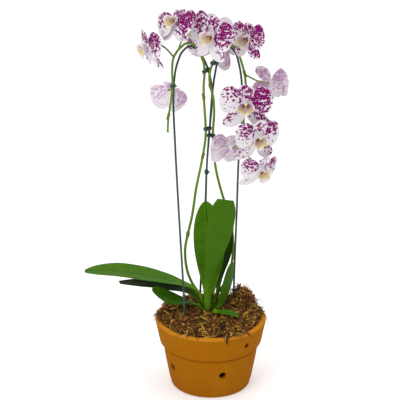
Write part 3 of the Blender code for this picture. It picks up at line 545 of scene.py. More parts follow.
def weld(mesh):
    """Joins the points that lie on each other, so that poles and seams are closed."""
    bm = bmesh.new()
    bm.from_mesh(mesh)
    bmesh.ops.remove_doubles(bm, verts=bm.verts, dist=WELD_REACH * MM)
    bm.to_mesh(mesh)
    bm.free()


def make_piece(shape, name, material, nodes):
    """Turns a shape into an object of the scene that stands for the named CAD nodes."""
    points = np.concatenate(shape.points) * MM
    faces = np.concatenate(shape.faces)
    mesh = bpy.data.meshes.new(name)
    mesh.vertices.add(len(points))
    mesh.vertices.foreach_set("co", points.ravel())
    mesh.loops.add(faces.size)
    mesh.loops.foreach_set("vertex_index", faces.ravel().astype(np.int32))
    mesh.polygons.add(len(faces))
    mesh.polygons.foreach_set("loop_start", (np.arange(len(faces)) * faces.shape[1]).astype(np.int32))
    for layer in ("flat", "paint"):
        values = np.concatenate(getattr(shape, layer)).astype(np.float32)
        mesh.attributes.new(layer, "FLOAT_VECTOR", "POINT").data.foreach_set("vector", values.ravel())
    mesh.update(calc_edges=True)
    weld(mesh)
    mesh.shade_smooth()
    mesh.materials.append(material)
    piece = bpy.data.objects.new(name, mesh)
    bpy.context.scene.collection.objects.link(piece)
    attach(piece, "root")
    if nodes:
        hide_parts(*nodes)
    return piece


def new_material(name, roughness, **sockets):
    """A Principled material; the given sockets are set on the shader itself."""
    made = bpy.data.materials.new(name)
    made.use_nodes = True
    shader = made.node_tree.nodes["Principled BSDF"]
    shader.inputs["Roughness"].default_value = roughness
    for socket, value in sockets.items():
        shader.inputs[socket.replace("_", " ")].default_value = value
    return made, made.node_tree, shader


def link(tree, shader, **sources):
    """Links each source to the shader's input of that name."""
    for socket, source in sources.items():
        tree.links.new(source, shader.inputs[socket.replace("_", " ")])


def add(tree, kind, inputs, **settings):
    """Adds a node, sets it up, sets or links its inputs, and returns its first live output."""
    made = tree.nodes.new("ShaderNode" + kind)
    for setting, value in settings.items():
        setattr(made, setting, value)
    for socket, value in inputs.items():
        if isinstance(value, bpy.types.NodeSocket):
            tree.links.new(value, made.inputs[socket])
        else:
            made.inputs[socket].default_value = value
    return next(socket for socket in made.outputs if socket.enabled)


def painted(tree):
    """The two values that a shape carries: its flat place, and its three shares."""
    flat = add(tree, "Attribute", {}, attribute_name="flat").node.outputs["Vector"]
    paint = add(tree, "Attribute", {}, attribute_name="paint").node.outputs["Vector"]
    return flat, add(tree, "SeparateXYZ", {0: paint}).node.outputs


def petal_material():
    """Orchid tepals: soft living tissue, waxy and a little translucent, so light spreads in it.

    The white ground carries magenta blotches where noise and the coverage pass a level, broken
    by pale flecks and ringed by a pink halo. Noise drawn out along the tepal breaks the densest
    into rays. Round spots about random centres grow with that level, and fine veins run along the
    tepal. The back is a paler mauve, and on it the front's blotches and veins show faintly as
    painted light, standing in for light that shines through the thin tepal. Real spots are 1 to 3
    mm across and the smallest are too fine to show, so their centres are 4 mm apart and they are
    up to 3 mm across.
    """
    made, tree, shader = new_material(
        "orchid petal", 0.55, Subsurface_Weight=0.06, Subsurface_Scale=0.002, IOR=1.42,
        Specular_IOR_Level=0.15
    )
    flat, (cover, across, back) = painted(tree)
    drawn = add(tree, "VectorMath", {0: flat, 1: (1.0, 0.9, 1.0)}, operation="MULTIPLY")
    cloud = add(tree, "TexNoise", {"Vector": drawn, "Scale": 2.2, "Detail": 2.5, "Roughness": 0.5})
    level = add(tree, "Math", {0: cover, 1: 0.5, 2: -0.25}, operation="MULTIPLY_ADD")
    level = add(tree, "Math", {0: level, 1: cloud}, operation="ADD")
    _, along, seed = add(tree, "SeparateXYZ", {0: flat}).node.outputs
    streak = add(tree, "CombineXYZ", {"X": across, "Y": along, "Z": seed})
    streak = add(tree, "VectorMath", {0: streak, 1: (4.4, 0.5, 1.0)}, operation="MULTIPLY")
    streak = add(tree, "TexNoise", {"Vector": streak, "Scale": 1.8, "Detail": 2.0})
    streak = add(tree, "MapRange", {0: streak, 1: 0.34, 2: 0.66, 3: -0.5, 4: 0.5},
                 interpolation_type="SMOOTHSTEP")
    rayed = add(tree, "MapRange", {0: cover, 1: 0.5, 2: 0.9, 3: 0.05, 4: 0.48})
    level = add(tree, "Math", {0: streak, 1: rayed, 2: level}, operation="MULTIPLY_ADD")
    blotch = add(tree, "MapRange", {0: level, 1: 0.51, 2: 0.53}, interpolation_type="SMOOTHSTEP")
    halo = add(tree, "MapRange", {0: level, 1: 0.42, 2: 0.53}, interpolation_type="SMOOTHSTEP")
    fleck = add(tree, "TexVoronoi", {"Vector": flat, "Scale": 3.4, "Randomness": 1.0})
    bare = add(tree, "MapRange", {0: level, 1: 0.50, 2: 0.85, 3: 0.36, 4: 0.18})
    bare = add(tree, "Math", {0: fleck, 1: bare}, operation="SUBTRACT")
    bare = add(tree, "MapRange", {0: bare, 1: -0.04, 2: 0.04}, interpolation_type="SMOOTHSTEP")
    blotch = add(tree, "Math", {0: blotch, 1: bare}, operation="MULTIPLY")
    cell = add(tree, "TexVoronoi", {"Vector": drawn, "Scale": 2.6, "Randomness": 1.0})
    reach = add(tree, "MapRange", {0: level, 1: 0.28, 2: 0.48, 3: 0.0, 4: 0.42})
    spot = add(tree, "Math", {0: cell, 1: reach}, operation="SUBTRACT")
    spot = add(tree, "MapRange", {0: spot, 1: -0.05, 2: 0.03, 3: 1.0, 4: 0.0},
               interpolation_type="SMOOTHSTEP")
    mark = add(tree, "Math", {0: blotch, 1: spot}, operation="MAXIMUM")
    bent = add(tree, "TexNoise", {"Vector": flat, "Scale": 1.6, "Detail": 2.0})
    stripes = add(tree, "Math", {0: across, 1: 24.0}, operation="MULTIPLY")
    stripes = add(tree, "Math", {0: bent, 1: 9.0, 2: stripes}, operation="MULTIPLY_ADD")
    stripes = add(tree, "Math", {0: stripes}, operation="SINE")
    vein = add(tree, "MapRange", {0: stripes, 1: 0.5, 2: 1.0, 3: 0.0, 4: 0.10})
    white = add(tree, "Mix", {0: vein, 6: rgba("dfdbde"), 7: rgba("b98fba")}, data_type="RGBA")
    pink = add(tree, "Math", {0: halo, 1: 0.30}, operation="MULTIPLY")
    blush = add(tree, "Mix", {0: pink, 6: white, 7: rgba("b978b4")}, data_type="RGBA")
    deep = add(tree, "TexNoise", {"Vector": flat, "Scale": 9.0, "Detail": 2.0})
    deep = add(tree, "MapRange", {0: deep, 1: 0.35, 2: 0.65})
    magenta = add(tree, "Mix", {0: deep, 6: rgba("5a003e"), 7: rgba("900a78")}, data_type="RGBA")
    front = add(tree, "Mix", {0: mark, 6: blush, 7: magenta}, data_type="RGBA")
    # Painted light shining through: the back shows the front's blotches and veins faintly.
    mottle = add(tree, "MapRange", {0: level, 1: 0.42, 2: 0.7, 3: 0.0, 4: 0.3})
    mottle = add(tree, "Math", {0: vein, 1: 1.3, 2: mottle}, operation="MULTIPLY_ADD")
    shown_through = add(tree, "Math", {0: mark, 1: 0.36, 2: mottle}, operation="MULTIPLY_ADD", use_clamp=True)
    behind = add(tree, "Mix", {0: shown_through, 6: rgba("e4dbe1"), 7: rgba("9e4e9c")}, data_type="RGBA")
    shade = add(tree, "Mix", {0: back, 6: front, 7: behind}, data_type="RGBA")
    fine = add(tree, "TexNoise", {"Vector": flat, "Scale": 40.0, "Detail": 2.0})
    relief = add(tree, "Math", {0: stripes, 1: 0.35, 2: fine}, operation="MULTIPLY_ADD")
    bump = add(tree, "Bump", {"Strength": 0.12, "Distance": 0.0004, "Height": relief})
    link(tree, shader, Base_Color=shade, Normal=bump)
    return made


def lip_material():
    """The lip: firmer, waxier tissue than the tepals, so it takes small soft highlights.

    Its colour is painted on its points. Maroon veins fan out on its inside: a sine of the angle
    about the bowl, bent a little by noise.
    """
    made, tree, shader = new_material(
        "orchid lip", 0.42, Subsurface_Weight=0.15, Subsurface_Scale=0.002,
        Subsurface_Radius=(1.0, 0.8, 0.6), IOR=1.42, Coat_Weight=0.15
    )
    flat = add(tree, "Attribute", {}, attribute_name="flat").node.outputs["Vector"]
    paint = add(tree, "Attribute", {}, attribute_name="paint").node.outputs["Vector"]
    x, _, strength = add(tree, "SeparateXYZ", {0: flat}).node.outputs
    wobble = add(tree, "TexNoise", {"Vector": flat, "Scale": 3.0, "Detail": 2.0})
    fan = add(tree, "Math", {0: wobble, 1: 5.0}, operation="MULTIPLY")
    fan = add(tree, "Math", {0: x, 1: 15.0, 2: fan}, operation="MULTIPLY_ADD")
    fan = add(tree, "Math", {0: fan}, operation="SINE")
    vein = add(tree, "MapRange", {0: fan, 1: 0.3, 2: 0.95}, interpolation_type="SMOOTHSTEP")
    vein = add(tree, "Math", {0: vein, 1: strength}, operation="MULTIPLY")
    shade = add(tree, "Mix", {0: vein, 6: paint, 7: rgba("5e1a38")}, data_type="RGBA")
    bump = add(tree, "Bump", {"Strength": 0.2, "Distance": 0.0004, "Height": wobble})
    link(tree, shader, Base_Color=shade, Normal=bump)
    return made


def leaf_material():
    """Living leaf under a wax skin: deep yellow green with a soft, uneven gloss.

    It is pale at its base, with a darker midrib line, fine veins a millimetre apart along it,
    faint mottling, and a paler, duller back. The first share is how far along it is, the second
    its shade, which below 0 is painted shade that darkens a leaf lying in shadow.
    """
    made, tree, shader = new_material("orchid leaf", 0.42, IOR=1.4, Specular_IOR_Level=0.06)
    # The second share is the leaf's shade: below 0 it is painted shade, and above 0 the leaf is paler.
    flat, (along, toned, back) = painted(tree)
    x = add(tree, "SeparateXYZ", {0: flat}).node.outputs["X"]
    fresh = add(tree, "Mix", {0: toned, 6: rgba("284c02"), 7: rgba("4c7c14")}, data_type="RGBA")
    rise = add(tree, "MapRange", {0: along, 1: 0.02, 2: 0.38}, interpolation_type="SMOOTHSTEP")
    young = add(tree, "Mix", {0: rise, 6: rgba("6d9a1c"), 7: fresh}, data_type="RGBA")
    drawn = add(tree, "VectorMath", {0: flat, 1: (9.0, 0.5, 1.0)}, operation="MULTIPLY")
    lines = add(tree, "TexNoise", {"Vector": drawn, "Scale": 1.6, "Detail": 3.0})
    cloud = add(tree, "TexNoise", {"Vector": flat, "Scale": 0.9, "Detail": 3.0})
    uneven = add(tree, "Math", {0: lines, 1: 0.5, 2: cloud}, operation="MULTIPLY_ADD")
    uneven = add(tree, "MapRange", {0: uneven, 1: 0.5, 2: 1.0, 3: 0.78, 4: 1.2})
    # Painted shade: a leaf whose shade is below 0 is darkened, down to a quarter at -1, as in shadow.
    shaded = add(tree, "MapRange", {0: toned, 1: -1.0, 2: 0.0, 3: 0.25, 4: 1.0})
    uneven = add(tree, "Math", {0: uneven, 1: shaded}, operation="MULTIPLY")
    varied = add(tree, "VectorMath", {0: young, "Scale": uneven}, operation="SCALE")
    away = add(tree, "Math", {0: x}, operation="ABSOLUTE")
    rib = add(tree, "MapRange", {0: away, 1: 0.04, 2: 0.13, 3: 0.7, 4: 0.0},
              interpolation_type="SMOOTHSTEP")
    ribbed = add(tree, "Mix", {0: rib, 6: varied, 7: rgba("1d3603")}, data_type="RGBA")
    dull = add(tree, "Mix", {0: 0.5, 6: varied, 7: rgba("466f16")}, data_type="RGBA")
    shade = add(tree, "Mix", {0: back, 6: ribbed, 7: dull}, data_type="RGBA")
    gloss = add(tree, "MapRange", {0: cloud, 1: 0.3, 2: 0.7, 3: 0.36, 4: 0.54})
    bump = add(tree, "Bump", {"Strength": 0.25, "Distance": 0.0006, "Height": lines})
    link(tree, shader, Base_Color=shade, Roughness=gloss, Normal=bump)
    return made


def stem_material():
    """A living flower stem: smooth green skin with a low, waxy gloss and fine streaks along it.

    The first share turns it brown at its sheaths, the second dark, and the third pink near a bloom.
    """
    made, tree, shader = new_material("flower spike", 0.45, IOR=1.45, Specular_IOR_Level=0.25)
    flat, (brown, dark, blush) = painted(tree)
    drawn = add(tree, "VectorMath", {0: flat, 1: (2.0, 0.6, 1.0)}, operation="MULTIPLY")
    streak = add(tree, "TexNoise", {"Vector": drawn, "Scale": 3.0, "Detail": 3.0})
    green = add(tree, "Mix", {0: streak, 6: rgba("44690a"), 7: rgba("729414")}, data_type="RGBA")
    aged = add(tree, "Mix", {0: brown, 6: green, 7: rgba("6b4a22")}, data_type="RGBA")
    aged = add(tree, "Mix", {0: blush, 6: aged, 7: rgba("b98f96")}, data_type="RGBA")
    shade = add(tree, "Mix", {0: dark, 6: aged, 7: rgba("33400f")}, data_type="RGBA")
    bump = add(tree, "Bump", {"Strength": 0.2, "Distance": 0.0003, "Height": streak})
    link(tree, shader, Base_Color=shade, Normal=bump)
    return made


def wire_material():
    """Steel wire dipped in dark green PVC: a soft plastic gloss over a faintly uneven coat."""
    made, tree, shader = new_material("coated wire", 0.35, IOR=1.5)
    place = add(tree, "TexCoord", {}).node.outputs["Object"]
    cloud = add(tree, "TexNoise", {"Vector": place, "Scale": 160.0, "Detail": 2.0})
    shade = add(tree, "Mix", {0: cloud, 6: rgba("0e2c28"), 7: rgba("1d4540")}, data_type="RGBA")
    gloss = add(tree, "MapRange", {0: cloud, 3: 0.25, 4: 0.45})
    link(tree, shader, Base_Color=shade, Roughness=gloss)
    return made


def clay_material():
    """Unglazed earthenware, thrown and fired: dry, matt and porous, so it has no highlight.

    It is orange brown and darker towards its foot, and a painted highlight makes its rim paler,
    where the light falls on its top. It has cloudy tone, a grain of 1.5 mm, pores 2 mm apart, and
    pale dust in patches.
    """
    made, tree, shader = new_material("unglazed earthenware", 0.9, Specular_IOR_Level=0.06)
    place = add(tree, "TexCoord", {}).node.outputs["Object"]
    height = add(tree, "SeparateXYZ", {0: place}).node.outputs["Z"]
    cloud = add(tree, "TexNoise", {"Vector": place, "Scale": 22.0, "Detail": 4.0, "Roughness": 0.6})
    tone = add(tree, "Math", {0: height, 1: 6.0, 2: cloud}, operation="MULTIPLY_ADD")
    tone = add(tree, "MapRange", {0: tone, 1: 0.45, 2: 1.25})
    body = add(tree, "Mix", {0: tone, 6: rgba("945803"), 7: rgba("9e6004")}, data_type="RGBA")
    # Painted highlight: the top of the rim is made paler, as where the light falls on it.
    rim = add(tree, "MapRange", {0: height, 1: 0.106, 2: 0.111, 3: 0.0, 4: 0.8},
              interpolation_type="SMOOTHSTEP")
    body = add(tree, "Mix", {0: rim, 6: body, 7: rgba("cd8522")}, data_type="RGBA")
    dust = add(tree, "TexNoise", {"Vector": place, "Scale": 9.0, "Detail": 5.0, "Roughness": 0.7})
    dust = add(tree, "MapRange", {0: dust, 1: 0.52, 2: 0.75, 3: 0.0, 4: 0.22},
               interpolation_type="SMOOTHSTEP")
    toned = add(tree, "Mix", {0: dust, 6: body, 7: rgba("b07a20")}, data_type="RGBA")
    pore = add(tree, "TexVoronoi", {"Vector": place, "Scale": 420.0})
    pore = add(tree, "MapRange", {0: pore, 1: 0.1, 2: 0.22, 3: 0.45, 4: 0.0})
    shade = add(tree, "Mix", {0: pore, 6: toned, 7: rgba("6a3c06")}, data_type="RGBA")
    grain = add(tree, "TexNoise", {"Vector": place, "Scale": 700.0, "Detail": 3.0})
    bump = add(tree, "Bump", {"Strength": 0.25, "Distance": 0.0004, "Height": grain})
    link(tree, shader, Base_Color=shade, Normal=bump)
    return made


def bed_material():
    """Damp bark and coir, packed down: nearly black and fully matt, with crumbs of 6 mm and less."""
    made, tree, shader = new_material("growing medium", 0.95)
    place = add(tree, "TexCoord", {}).node.outputs["Object"]
    cloud = add(tree, "TexNoise", {"Vector": place, "Scale": 150.0, "Detail": 5.0, "Roughness": 0.7})
    shade = add(tree, "Mix", {0: cloud, 6: rgba("140a02"), 7: rgba("3c210a")}, data_type="RGBA")
    bump = add(tree, "Bump", {"Strength": 0.9, "Distance": 0.004, "Height": cloud})
    link(tree, shader, Base_Color=shade, Normal=bump)
    return made


def strand_material():
    """Dry sphagnum and coir: matt plant fibre, with some strands straw and gold.

    Each strand has its own tone, from near black to straw, with fine streaks along it. The straw
    and gold are partly the fibre's own colour and partly painted highlight.
    """
    made, tree, shader = new_material("coir and moss", 0.7)
    flat, (tone, mossy, _) = painted(tree)
    streak = add(tree, "TexNoise", {"Vector": flat, "Scale": 6.0, "Detail": 2.0})
    mixed = add(tree, "Math", {0: streak, 1: 0.3, 2: tone}, operation="MULTIPLY_ADD")
    brown = add(tree, "MapRange", {0: mixed, 1: 0.15, 2: 0.75})
    # Painted highlight in part: the palest tones turn straw and then gold, partly the fibre's own colour.
    straw = add(tree, "MapRange", {0: mixed, 1: 0.72, 2: 1.15})
    shade = add(tree, "Mix", {0: brown, 6: rgba("200c02"), 7: rgba("94540f")}, data_type="RGBA")
    shade = add(tree, "Mix", {0: straw, 6: shade, 7: rgba("dca63c")}, data_type="RGBA")
    shade = add(tree, "Mix", {0: mossy, 6: shade, 7: rgba("7c7a1c")}, data_type="RGBA")
    link(tree, shader, Base_Color=shade)
    return made


def arc(x, z, radius, start, end, steps):
    """Points (radius, height) of an arc about (x, z), its angles in degrees from +X."""
    turn = np.radians(np.linspace(start, end, steps + 1))
    return [(x + radius * math.cos(a), z + radius * math.sin(a)) for a in turn]


def inner_radius(height):
    """The pot's inner wall leans out from its floor to its rim."""
    foot = POT_FOOT_RADIUS - POT_WALL
    rim = POT_RIM_RADIUS - POT_WALL
    return foot + (rim - foot) * (height - POT_FLOOR) / (POT_HEIGHT - POT_FLOOR)


def pot_profile():
    """The pot's outline (radius, height) from the axis below, round the outside and back inside.

    The edges of its foot, its collar and its lip are arcs, and straight lines join the rest.
    """
    seam = POT_HEIGHT - POT_BAND_HEIGHT
    profile = [(0, 0), (POT_FLAT_RADIUS, 0)]
    profile += arc(POT_FOOT_RADIUS - POT_FOOT_ROUND, POT_FOOT_ROUND, POT_FOOT_ROUND, *EDGE_ARC)
    profile += [(POT_BODY_RADIUS - inset, seam - drop) for inset, drop in POT_BODY_LINE]
    profile += arc(POT_COLLAR_RADIUS, seam + POT_COLLAR_RISE, POT_COLLAR_ROUND, *EDGE_ARC)
    profile += POT_COLLAR_LINE
    profile += arc(POT_RIM_RADIUS - POT_LIP_ROUND, POT_HEIGHT - POT_LIP_ROUND, POT_LIP_ROUND, *LIP_ARC)
    profile += [(inner_radius(height), height) for height in (POT_LIP_FOOT, POT_FLOOR)]
    return np.array(profile + [(0, POT_FLOOR)])


def hole_directions(row):
    """Unit vectors from the axis towards a row's holes, evenly spaced from its first."""
    turn = np.radians(row["first"] + 360 * np.arange(row["count"]) / row["count"])
    return np.stack([np.cos(turn), np.sin(turn), np.zeros_like(turn)], -1)


def build_pot(material):
    """The pot: its profile turned round the axis, with its holes cut by thin cylinders."""
    profile = pot_profile()
    turn = 2 * math.pi * np.arange(POT_SEGMENTS) / POT_SEGMENTS
    x, y = profile[:, :1] * np.cos(turn), profile[:, :1] * np.sin(turn)
    points = np.stack([x, y, np.broadcast_to(profile[:, 1:], x.shape)], -1)
    walls = Shape()
    walls.add(points, cells(len(profile), POT_SEGMENTS, closed=True))
    pot = make_piece(walls, "clay_pot", material, ["pot"])
    drill = Shape()
    for row in (LOWER_HOLES, UPPER_HOLES):
        for out in hole_directions(row):
            path = np.outer(HOLE_DRILL, out) + (0, 0, row["height"])
            add_tube(drill, path, row["radius"], HOLE_SIDES)
    for out in hole_directions(FLOOR_HOLES):
        path = FLOOR_HOLES["distance"] * out + np.outer((-HOLE_PAST, POT_FLOOR + HOLE_PAST), (0, 0, 1))
        add_tube(drill, path, FLOOR_HOLES["radius"], HOLE_SIDES)
    cutter = make_piece(drill, "drill", material, [])
    modifier = pot.modifiers.new("Holes", "BOOLEAN")
    modifier.operation = "DIFFERENCE"
    modifier.object = cutter
    graph = bpy.context.evaluated_depsgraph_get()
    mesh = bpy.data.meshes.new_from_object(pot.evaluated_get(graph))
    pot.modifiers.clear()
    pot.data = mesh
    mesh.shade_smooth()
    mesh.set_sharp_from_angle(angle=math.radians(POT_SHARP_ANGLE))
    bpy.data.objects.remove(cutter)


def medium_height(x, y):
    """The medium's surface: a dome that falls as a power of the distance from the axis, its
    mounds as bell curves, and ridges from three sine waves."""
    reach = np.hypot(x, y) / inner_radius(MEDIUM_EDGE)
    height = MEDIUM_CENTRE + (MEDIUM_EDGE - MEDIUM_CENTRE) * reach**MEDIUM_FALL
    for at_x, at_y, rise, spread in MOUNDS:
        away = np.hypot(x - at_x, y - at_y) / spread
        height = height + rise * np.exp(-(away**2))
    ridges = sum(np.sin(along_x * x + along_y * y + phase) for along_x, along_y, phase in RIDGES)
    return height + MEDIUM_RIDGE * ridges


def build_bed(material):
    """The medium's surface as a disc of rings, closed below by a flat bottom."""
    turn = 2 * math.pi * np.arange(BED_SEGMENTS) / BED_SEGMENTS
    radius = np.linspace(0, inner_radius(BED_EDGE) - BED_CLEARANCE, BED_RINGS)[:, None]
    x, y = radius * np.cos(turn), radius * np.sin(turn)
    top = np.stack([x, y, medium_height(x, y)], -1)
    low = [np.stack([x[k] * share, y[k] * share, np.full(BED_SEGMENTS, z)], -1)
           for k, share, z in BED_UNDERSIDE]
    points = np.concatenate([top, np.stack(low)])
    bed = Shape()
    bed.add(points, cells(len(points), BED_SEGMENTS, closed=True)[:, ::-1])
    make_piece(bed, "medium_bed", material, ["growing_medium"])


def strand_starts(rng, count):
    """Where strands start on the medium, which way they head, and which hang over the rim.

    Most start at random over its whole disc, and some are heaped on its highest mound. Those
    that hang start near the rim, about a few set angles, and head outwards.
    """
    hanging = rng.random(count) < HANGING_SHARE
    by_rim = rng.uniform(*HANGING_START, count)
    radius = np.where(hanging, by_rim, STRAND_START * np.sqrt(rng.random(count)))
    angle = rng.uniform(0, 2 * math.pi, count)
    clump = np.radians(rng.choice(HANGING_ANGLES, count) + rng.normal(0, HANGING_SPREAD, count))
    angle = np.where(hanging, clump, angle)
    x, y = radius * np.cos(angle), radius * np.sin(angle)
    heaped = ~hanging & (rng.random(count) < HEAPED_SHARE)
    x = np.where(heaped, rng.normal(MOUNDS[0][0], HEAPED_SPREAD, count), x)
    y = np.where(heaped, rng.normal(MOUNDS[0][1], HEAPED_SPREAD, count), y)
    inside = np.minimum(1, STRAND_START / np.hypot(x, y))
    outwards = angle + rng.normal(0, HANGING_STRAY, count)
    heading = np.where(hanging, outwards, rng.uniform(0, 2 * math.pi, count))
    return x * inside, y * inside, heading, hanging


def strand_paths(rng, count, reach, curl):
    """Each strand's points and length: short steps whose heading drifts and whose slope falls.

    It is held inside the pot and on top of the medium. One that hangs lies over the rim instead,
    and may drop outside it.
    """
    x, y, heading, hanging = strand_starts(rng, count)
    drift = rng.normal(0, curl, (count, STRAND_STEPS))
    fall = np.linspace(0, SLOPE_FALL, STRAND_STEPS)
    slope = rng.uniform(*SLOPE_START, count)[:, None] - fall * rng.uniform(*SLOPE_SHARES, (count, 1))
    slope = slope + rng.normal(0, SLOPE_STRAY, (count, STRAND_STEPS))
    length = rng.uniform(*reach, count)
    heading = heading[:, None] + np.cumsum(drift, axis=1)
    move = np.stack([np.cos(heading) * np.cos(slope), np.sin(heading) * np.cos(slope), np.sin(slope)], -1)
    move *= (length / STRAND_STEPS)[:, None, None]
    path = np.concatenate([np.zeros((count, 1, 3)), np.cumsum(move, axis=1)], axis=1)
    path += np.stack([x, y, medium_height(x, y) - STRAND_ROOT], -1)[:, None]
    distance = np.hypot(path[..., 0], path[..., 1])
    keep_in = ~hanging[:, None] & (distance > STRAND_REACH)
    path[..., :2] *= np.where(keep_in, STRAND_REACH / np.maximum(distance, 1), 1)[..., None]
    distance = np.hypot(path[..., 0], path[..., 1])
    on_medium = medium_height(path[..., 0], path[..., 1]) + STRAND_LIFT
    floor = np.where(distance < STRAND_REACH + 0.5, on_medium, POT_HEIGHT + RIM_LIFT)
    floor = np.where(distance > POT_RIM_RADIUS + 1, POT_HEIGHT - HANGING_DROP, floor)
    path[:, 1:, 2] = np.maximum(path[:, 1:, 2], floor[:, 1:])
    return path, length


def build_strands(name, material, count, seed, reach, thickness, flatness, curl, tones, mossy):
    """Loose strands: a flat three-sided section, thin at both ends, carried along each path."""
    rng = np.random.default_rng(seed)
    path, length = strand_paths(rng, count, reach, curl)
    tangents = unit(np.gradient(path, axis=1))
    side = unit(np.cross(tangents, rng.normal(0, 1, (count, 1, 3)) + (0, 0, 2.0)))
    up = np.cross(tangents, side)
    width = rng.uniform(*thickness, count)[:, None] * np.array(STRAND_TAPER)
    height = width * rng.uniform(*flatness, (count, 1))
    turn = 2 * math.pi * np.arange(STRAND_SIDES) / STRAND_SIDES
    ring = np.cos(turn)[:, None] * (side * width[..., None])[:, :, None]
    ring = ring + np.sin(turn)[:, None] * (up * height[..., None])[:, :, None]
    points = (path[:, :, None] + ring).reshape(-1, 3)
    rings = STRAND_STEPS + 1
    one = cells(rings, STRAND_SIDES, closed=True)
    faces = (one[None] + (np.arange(count) * STRAND_SIDES * rings)[:, None, None]).reshape(-1, 4)
    along = np.linspace(0, 1, rings)[None, :, None] * (length / CM)[:, None, None]
    place = rng.uniform(0, 40, count)[:, None, None]
    flat = np.stack(np.broadcast_arrays(turn[None, None], along, place), -1)
    tone = np.clip(rng.normal(*tones, count), 0, 1)
    green = np.where(rng.random(count) < mossy, rng.uniform(*MOSS_GREENS, count), 0)
    paint = np.stack([tone, green, np.zeros(count)], -1)
    strands = Shape()
    strands.add(points, faces, flat, np.repeat(paint, STRAND_SIDES * rings, axis=0))
    make_piece(strands, name, material, [])


def leaf_outline(u):
    """Two shares of a leaf's half width: a smooth rise over its first 58 percent, and a round
    point over its last 40 percent."""
    rise = np.clip(u / 0.58, 0, 1)
    rise = rise**1.5 * (2.5 - 1.5 * rise)
    tip = np.clip((u - 0.6) / 0.4, 0, 1)
    return rise, (1 - tip**2.2) ** 0.62


def build_leaf(name, material, rib, width, up, channel, missing, shade, neck=1.0):
    """A leaf: cross sections along its midrib, as wide as its outline, that open from a clasping
    base into a shallow channel. The edges rise as a power of the way out and wave a little, a bell
    curve makes the groove along the midrib, and the blade thins to its rounded edges."""
    u = drawn_in(LEAF_ROWS, 0.8)
    v = spread_out(LEAF_COLUMNS)
    middle = smooth(rib, u)
    tangents = unit(np.gradient(middle, axis=0))
    face = unit(np.outer(1 - u, unit(up[0])) + np.outer(u, unit(up[1])))
    side = unit(np.cross(tangents, face))
    normal = np.cross(side, tangents)
    rise, tip = leaf_outline((u * (LEAF_END - missing)) ** neck)
    half = (LEAF_BASE_WIDTH + (width - LEAF_BASE_WIDTH) * rise) * tip / 2
    clasp = LEAF_CLASP * np.exp(-((u / LEAF_CLASP_REACH) ** 2)) + channel * (1 - 0.5 * u)
    lift = (clasp * half)[:, None] * np.abs(v) ** 1.7
    wave = np.sin(7 * u + 2 * shade)[:, None] * v**2 * ease(0.15, 0.5, u)[:, None]
    across = half[:, None] * v
    groove = np.exp(-((across / LEAF_GROOVE_WIDTH) ** 2)) * (1 - 0.6 * u)[:, None]
    lift = lift + LEAF_WAVE * wave - LEAF_GROOVE * groove
    grid = middle[:, None] + side[:, None] * across[..., None] + normal[:, None] * lift[..., None]
    full = (1 - np.abs(v) ** 8)[None] * (1 - u**24 * 0.7)[:, None]
    thick = LEAF_THICKNESS / 2 * (EDGE_SHARE + (1 - EDGE_SHARE) * full)
    along = u * length_of(rib) / CM
    flat = np.stack(np.broadcast_arrays(across / CM, along[:, None], 7 * shade + width), -1)
    paint = np.stack(np.broadcast_arrays(u[:, None], shade, np.zeros_like(across)), -1)
    leaf = Shape()
    add_shell(leaf, grid, thick, flat, paint)
    make_piece(leaf, name + "_blade", material, [name])


def stem_radii(along, marks, radius):
    """A stem tapers evenly towards its end, and swells as a bell curve at each joint."""
    taper = radius * (1 - STEM_TAPER * along / along[-1])
    return taper + JOINT_SWELL * sum(np.exp(-(((along - mark) / JOINT_REACH) ** 2)) for mark in marks)


def bloom_matrix(bloom, share=1.0):
    """Turns bloom space (X right, Y up, Z out of the face) into the part's, at a share of its size."""
    turn = (
        Matrix.Rotation(math.radians(bloom["yaw"]), 4, "Z")
        @ Matrix.Rotation(math.radians(90 - bloom["pitch"]), 4, "X")
        @ Matrix.Rotation(math.radians(bloom["roll"]), 4, "Z")
    )
    return np.array(Matrix.Translation(bloom["centre"]) @ turn @ Matrix.Scale(bloom["size"] * share, 4))


def placed(points, matrix):
    """Points turned, scaled and moved by a matrix with four rows."""
    return np.asarray(points, float) @ matrix[:3, :3].T + matrix[:3, 3]


def pedicel_path(bloom, path):
    """The short stem from the spike to the back of a bloom: a cubic curve that two points between
    its ends pull on, so that it leaves towards the bloom and arrives straight from behind it."""
    matrix = bloom_matrix(bloom)
    facing = unit(matrix[:3, 2])
    end = placed((0, 0, HUB_BACK + 0.6), matrix)
    start = path[np.argmin(np.linalg.norm(path - np.array(bloom["start"]), axis=1))]
    reach = np.linalg.norm(end - start)
    away = unit(end - facing * 0.3 * reach - start)
    pulls = (start, start + away * reach * 0.35, end - facing * reach * 0.45, end)
    t = np.linspace(0, 1, PEDICEL_STATIONS)[:, None]
    shares = ((1 - t) ** 3, 3 * (1 - t) ** 2 * t, 3 * (1 - t) * t**2, t**3)
    return sum(share * pull for share, pull in zip(shares, pulls))


def add_sheath(shape, path, along, mark, radius):
    """The small pointed scale that wraps a joint: half a sleeve that narrows to a tip up the stem.

    Its half turn closes as a power of the way along, and it stands off more as the square of it.
    """
    _, across, up = frames(path)
    u = np.linspace(0, 1, 9)
    v = np.linspace(-1, 1, 9)
    place = np.clip(mark - SHEATH_START + SHEATH_LENGTH * u, 0, along[-1])
    centre, one, two = (
        np.stack([np.interp(place, along, values[:, k]) for k in range(3)], 1)
        for values in (path, across, up)
    )
    wrap = (SHEATH_WRAP * (1 - u) ** 0.6)[:, None] * v + mark
    out = (radius + SHEATH_GAP + SHEATH_FLARE * u**2)[:, None, None]
    around = np.cos(wrap)[..., None] * one[:, None] + np.sin(wrap)[..., None] * two[:, None]
    brown = (0.35 + 0.5 * u**2)[:, None]
    flat = np.stack(np.broadcast_arrays(v * 0.3, u[:, None], mark), -1)
    paint = np.stack(np.broadcast_arrays(brown, np.zeros_like(wrap), 0.0), -1)
    add_shell(shape, centre[:, None] + out * around, SHEATH_HALF, flat, paint)


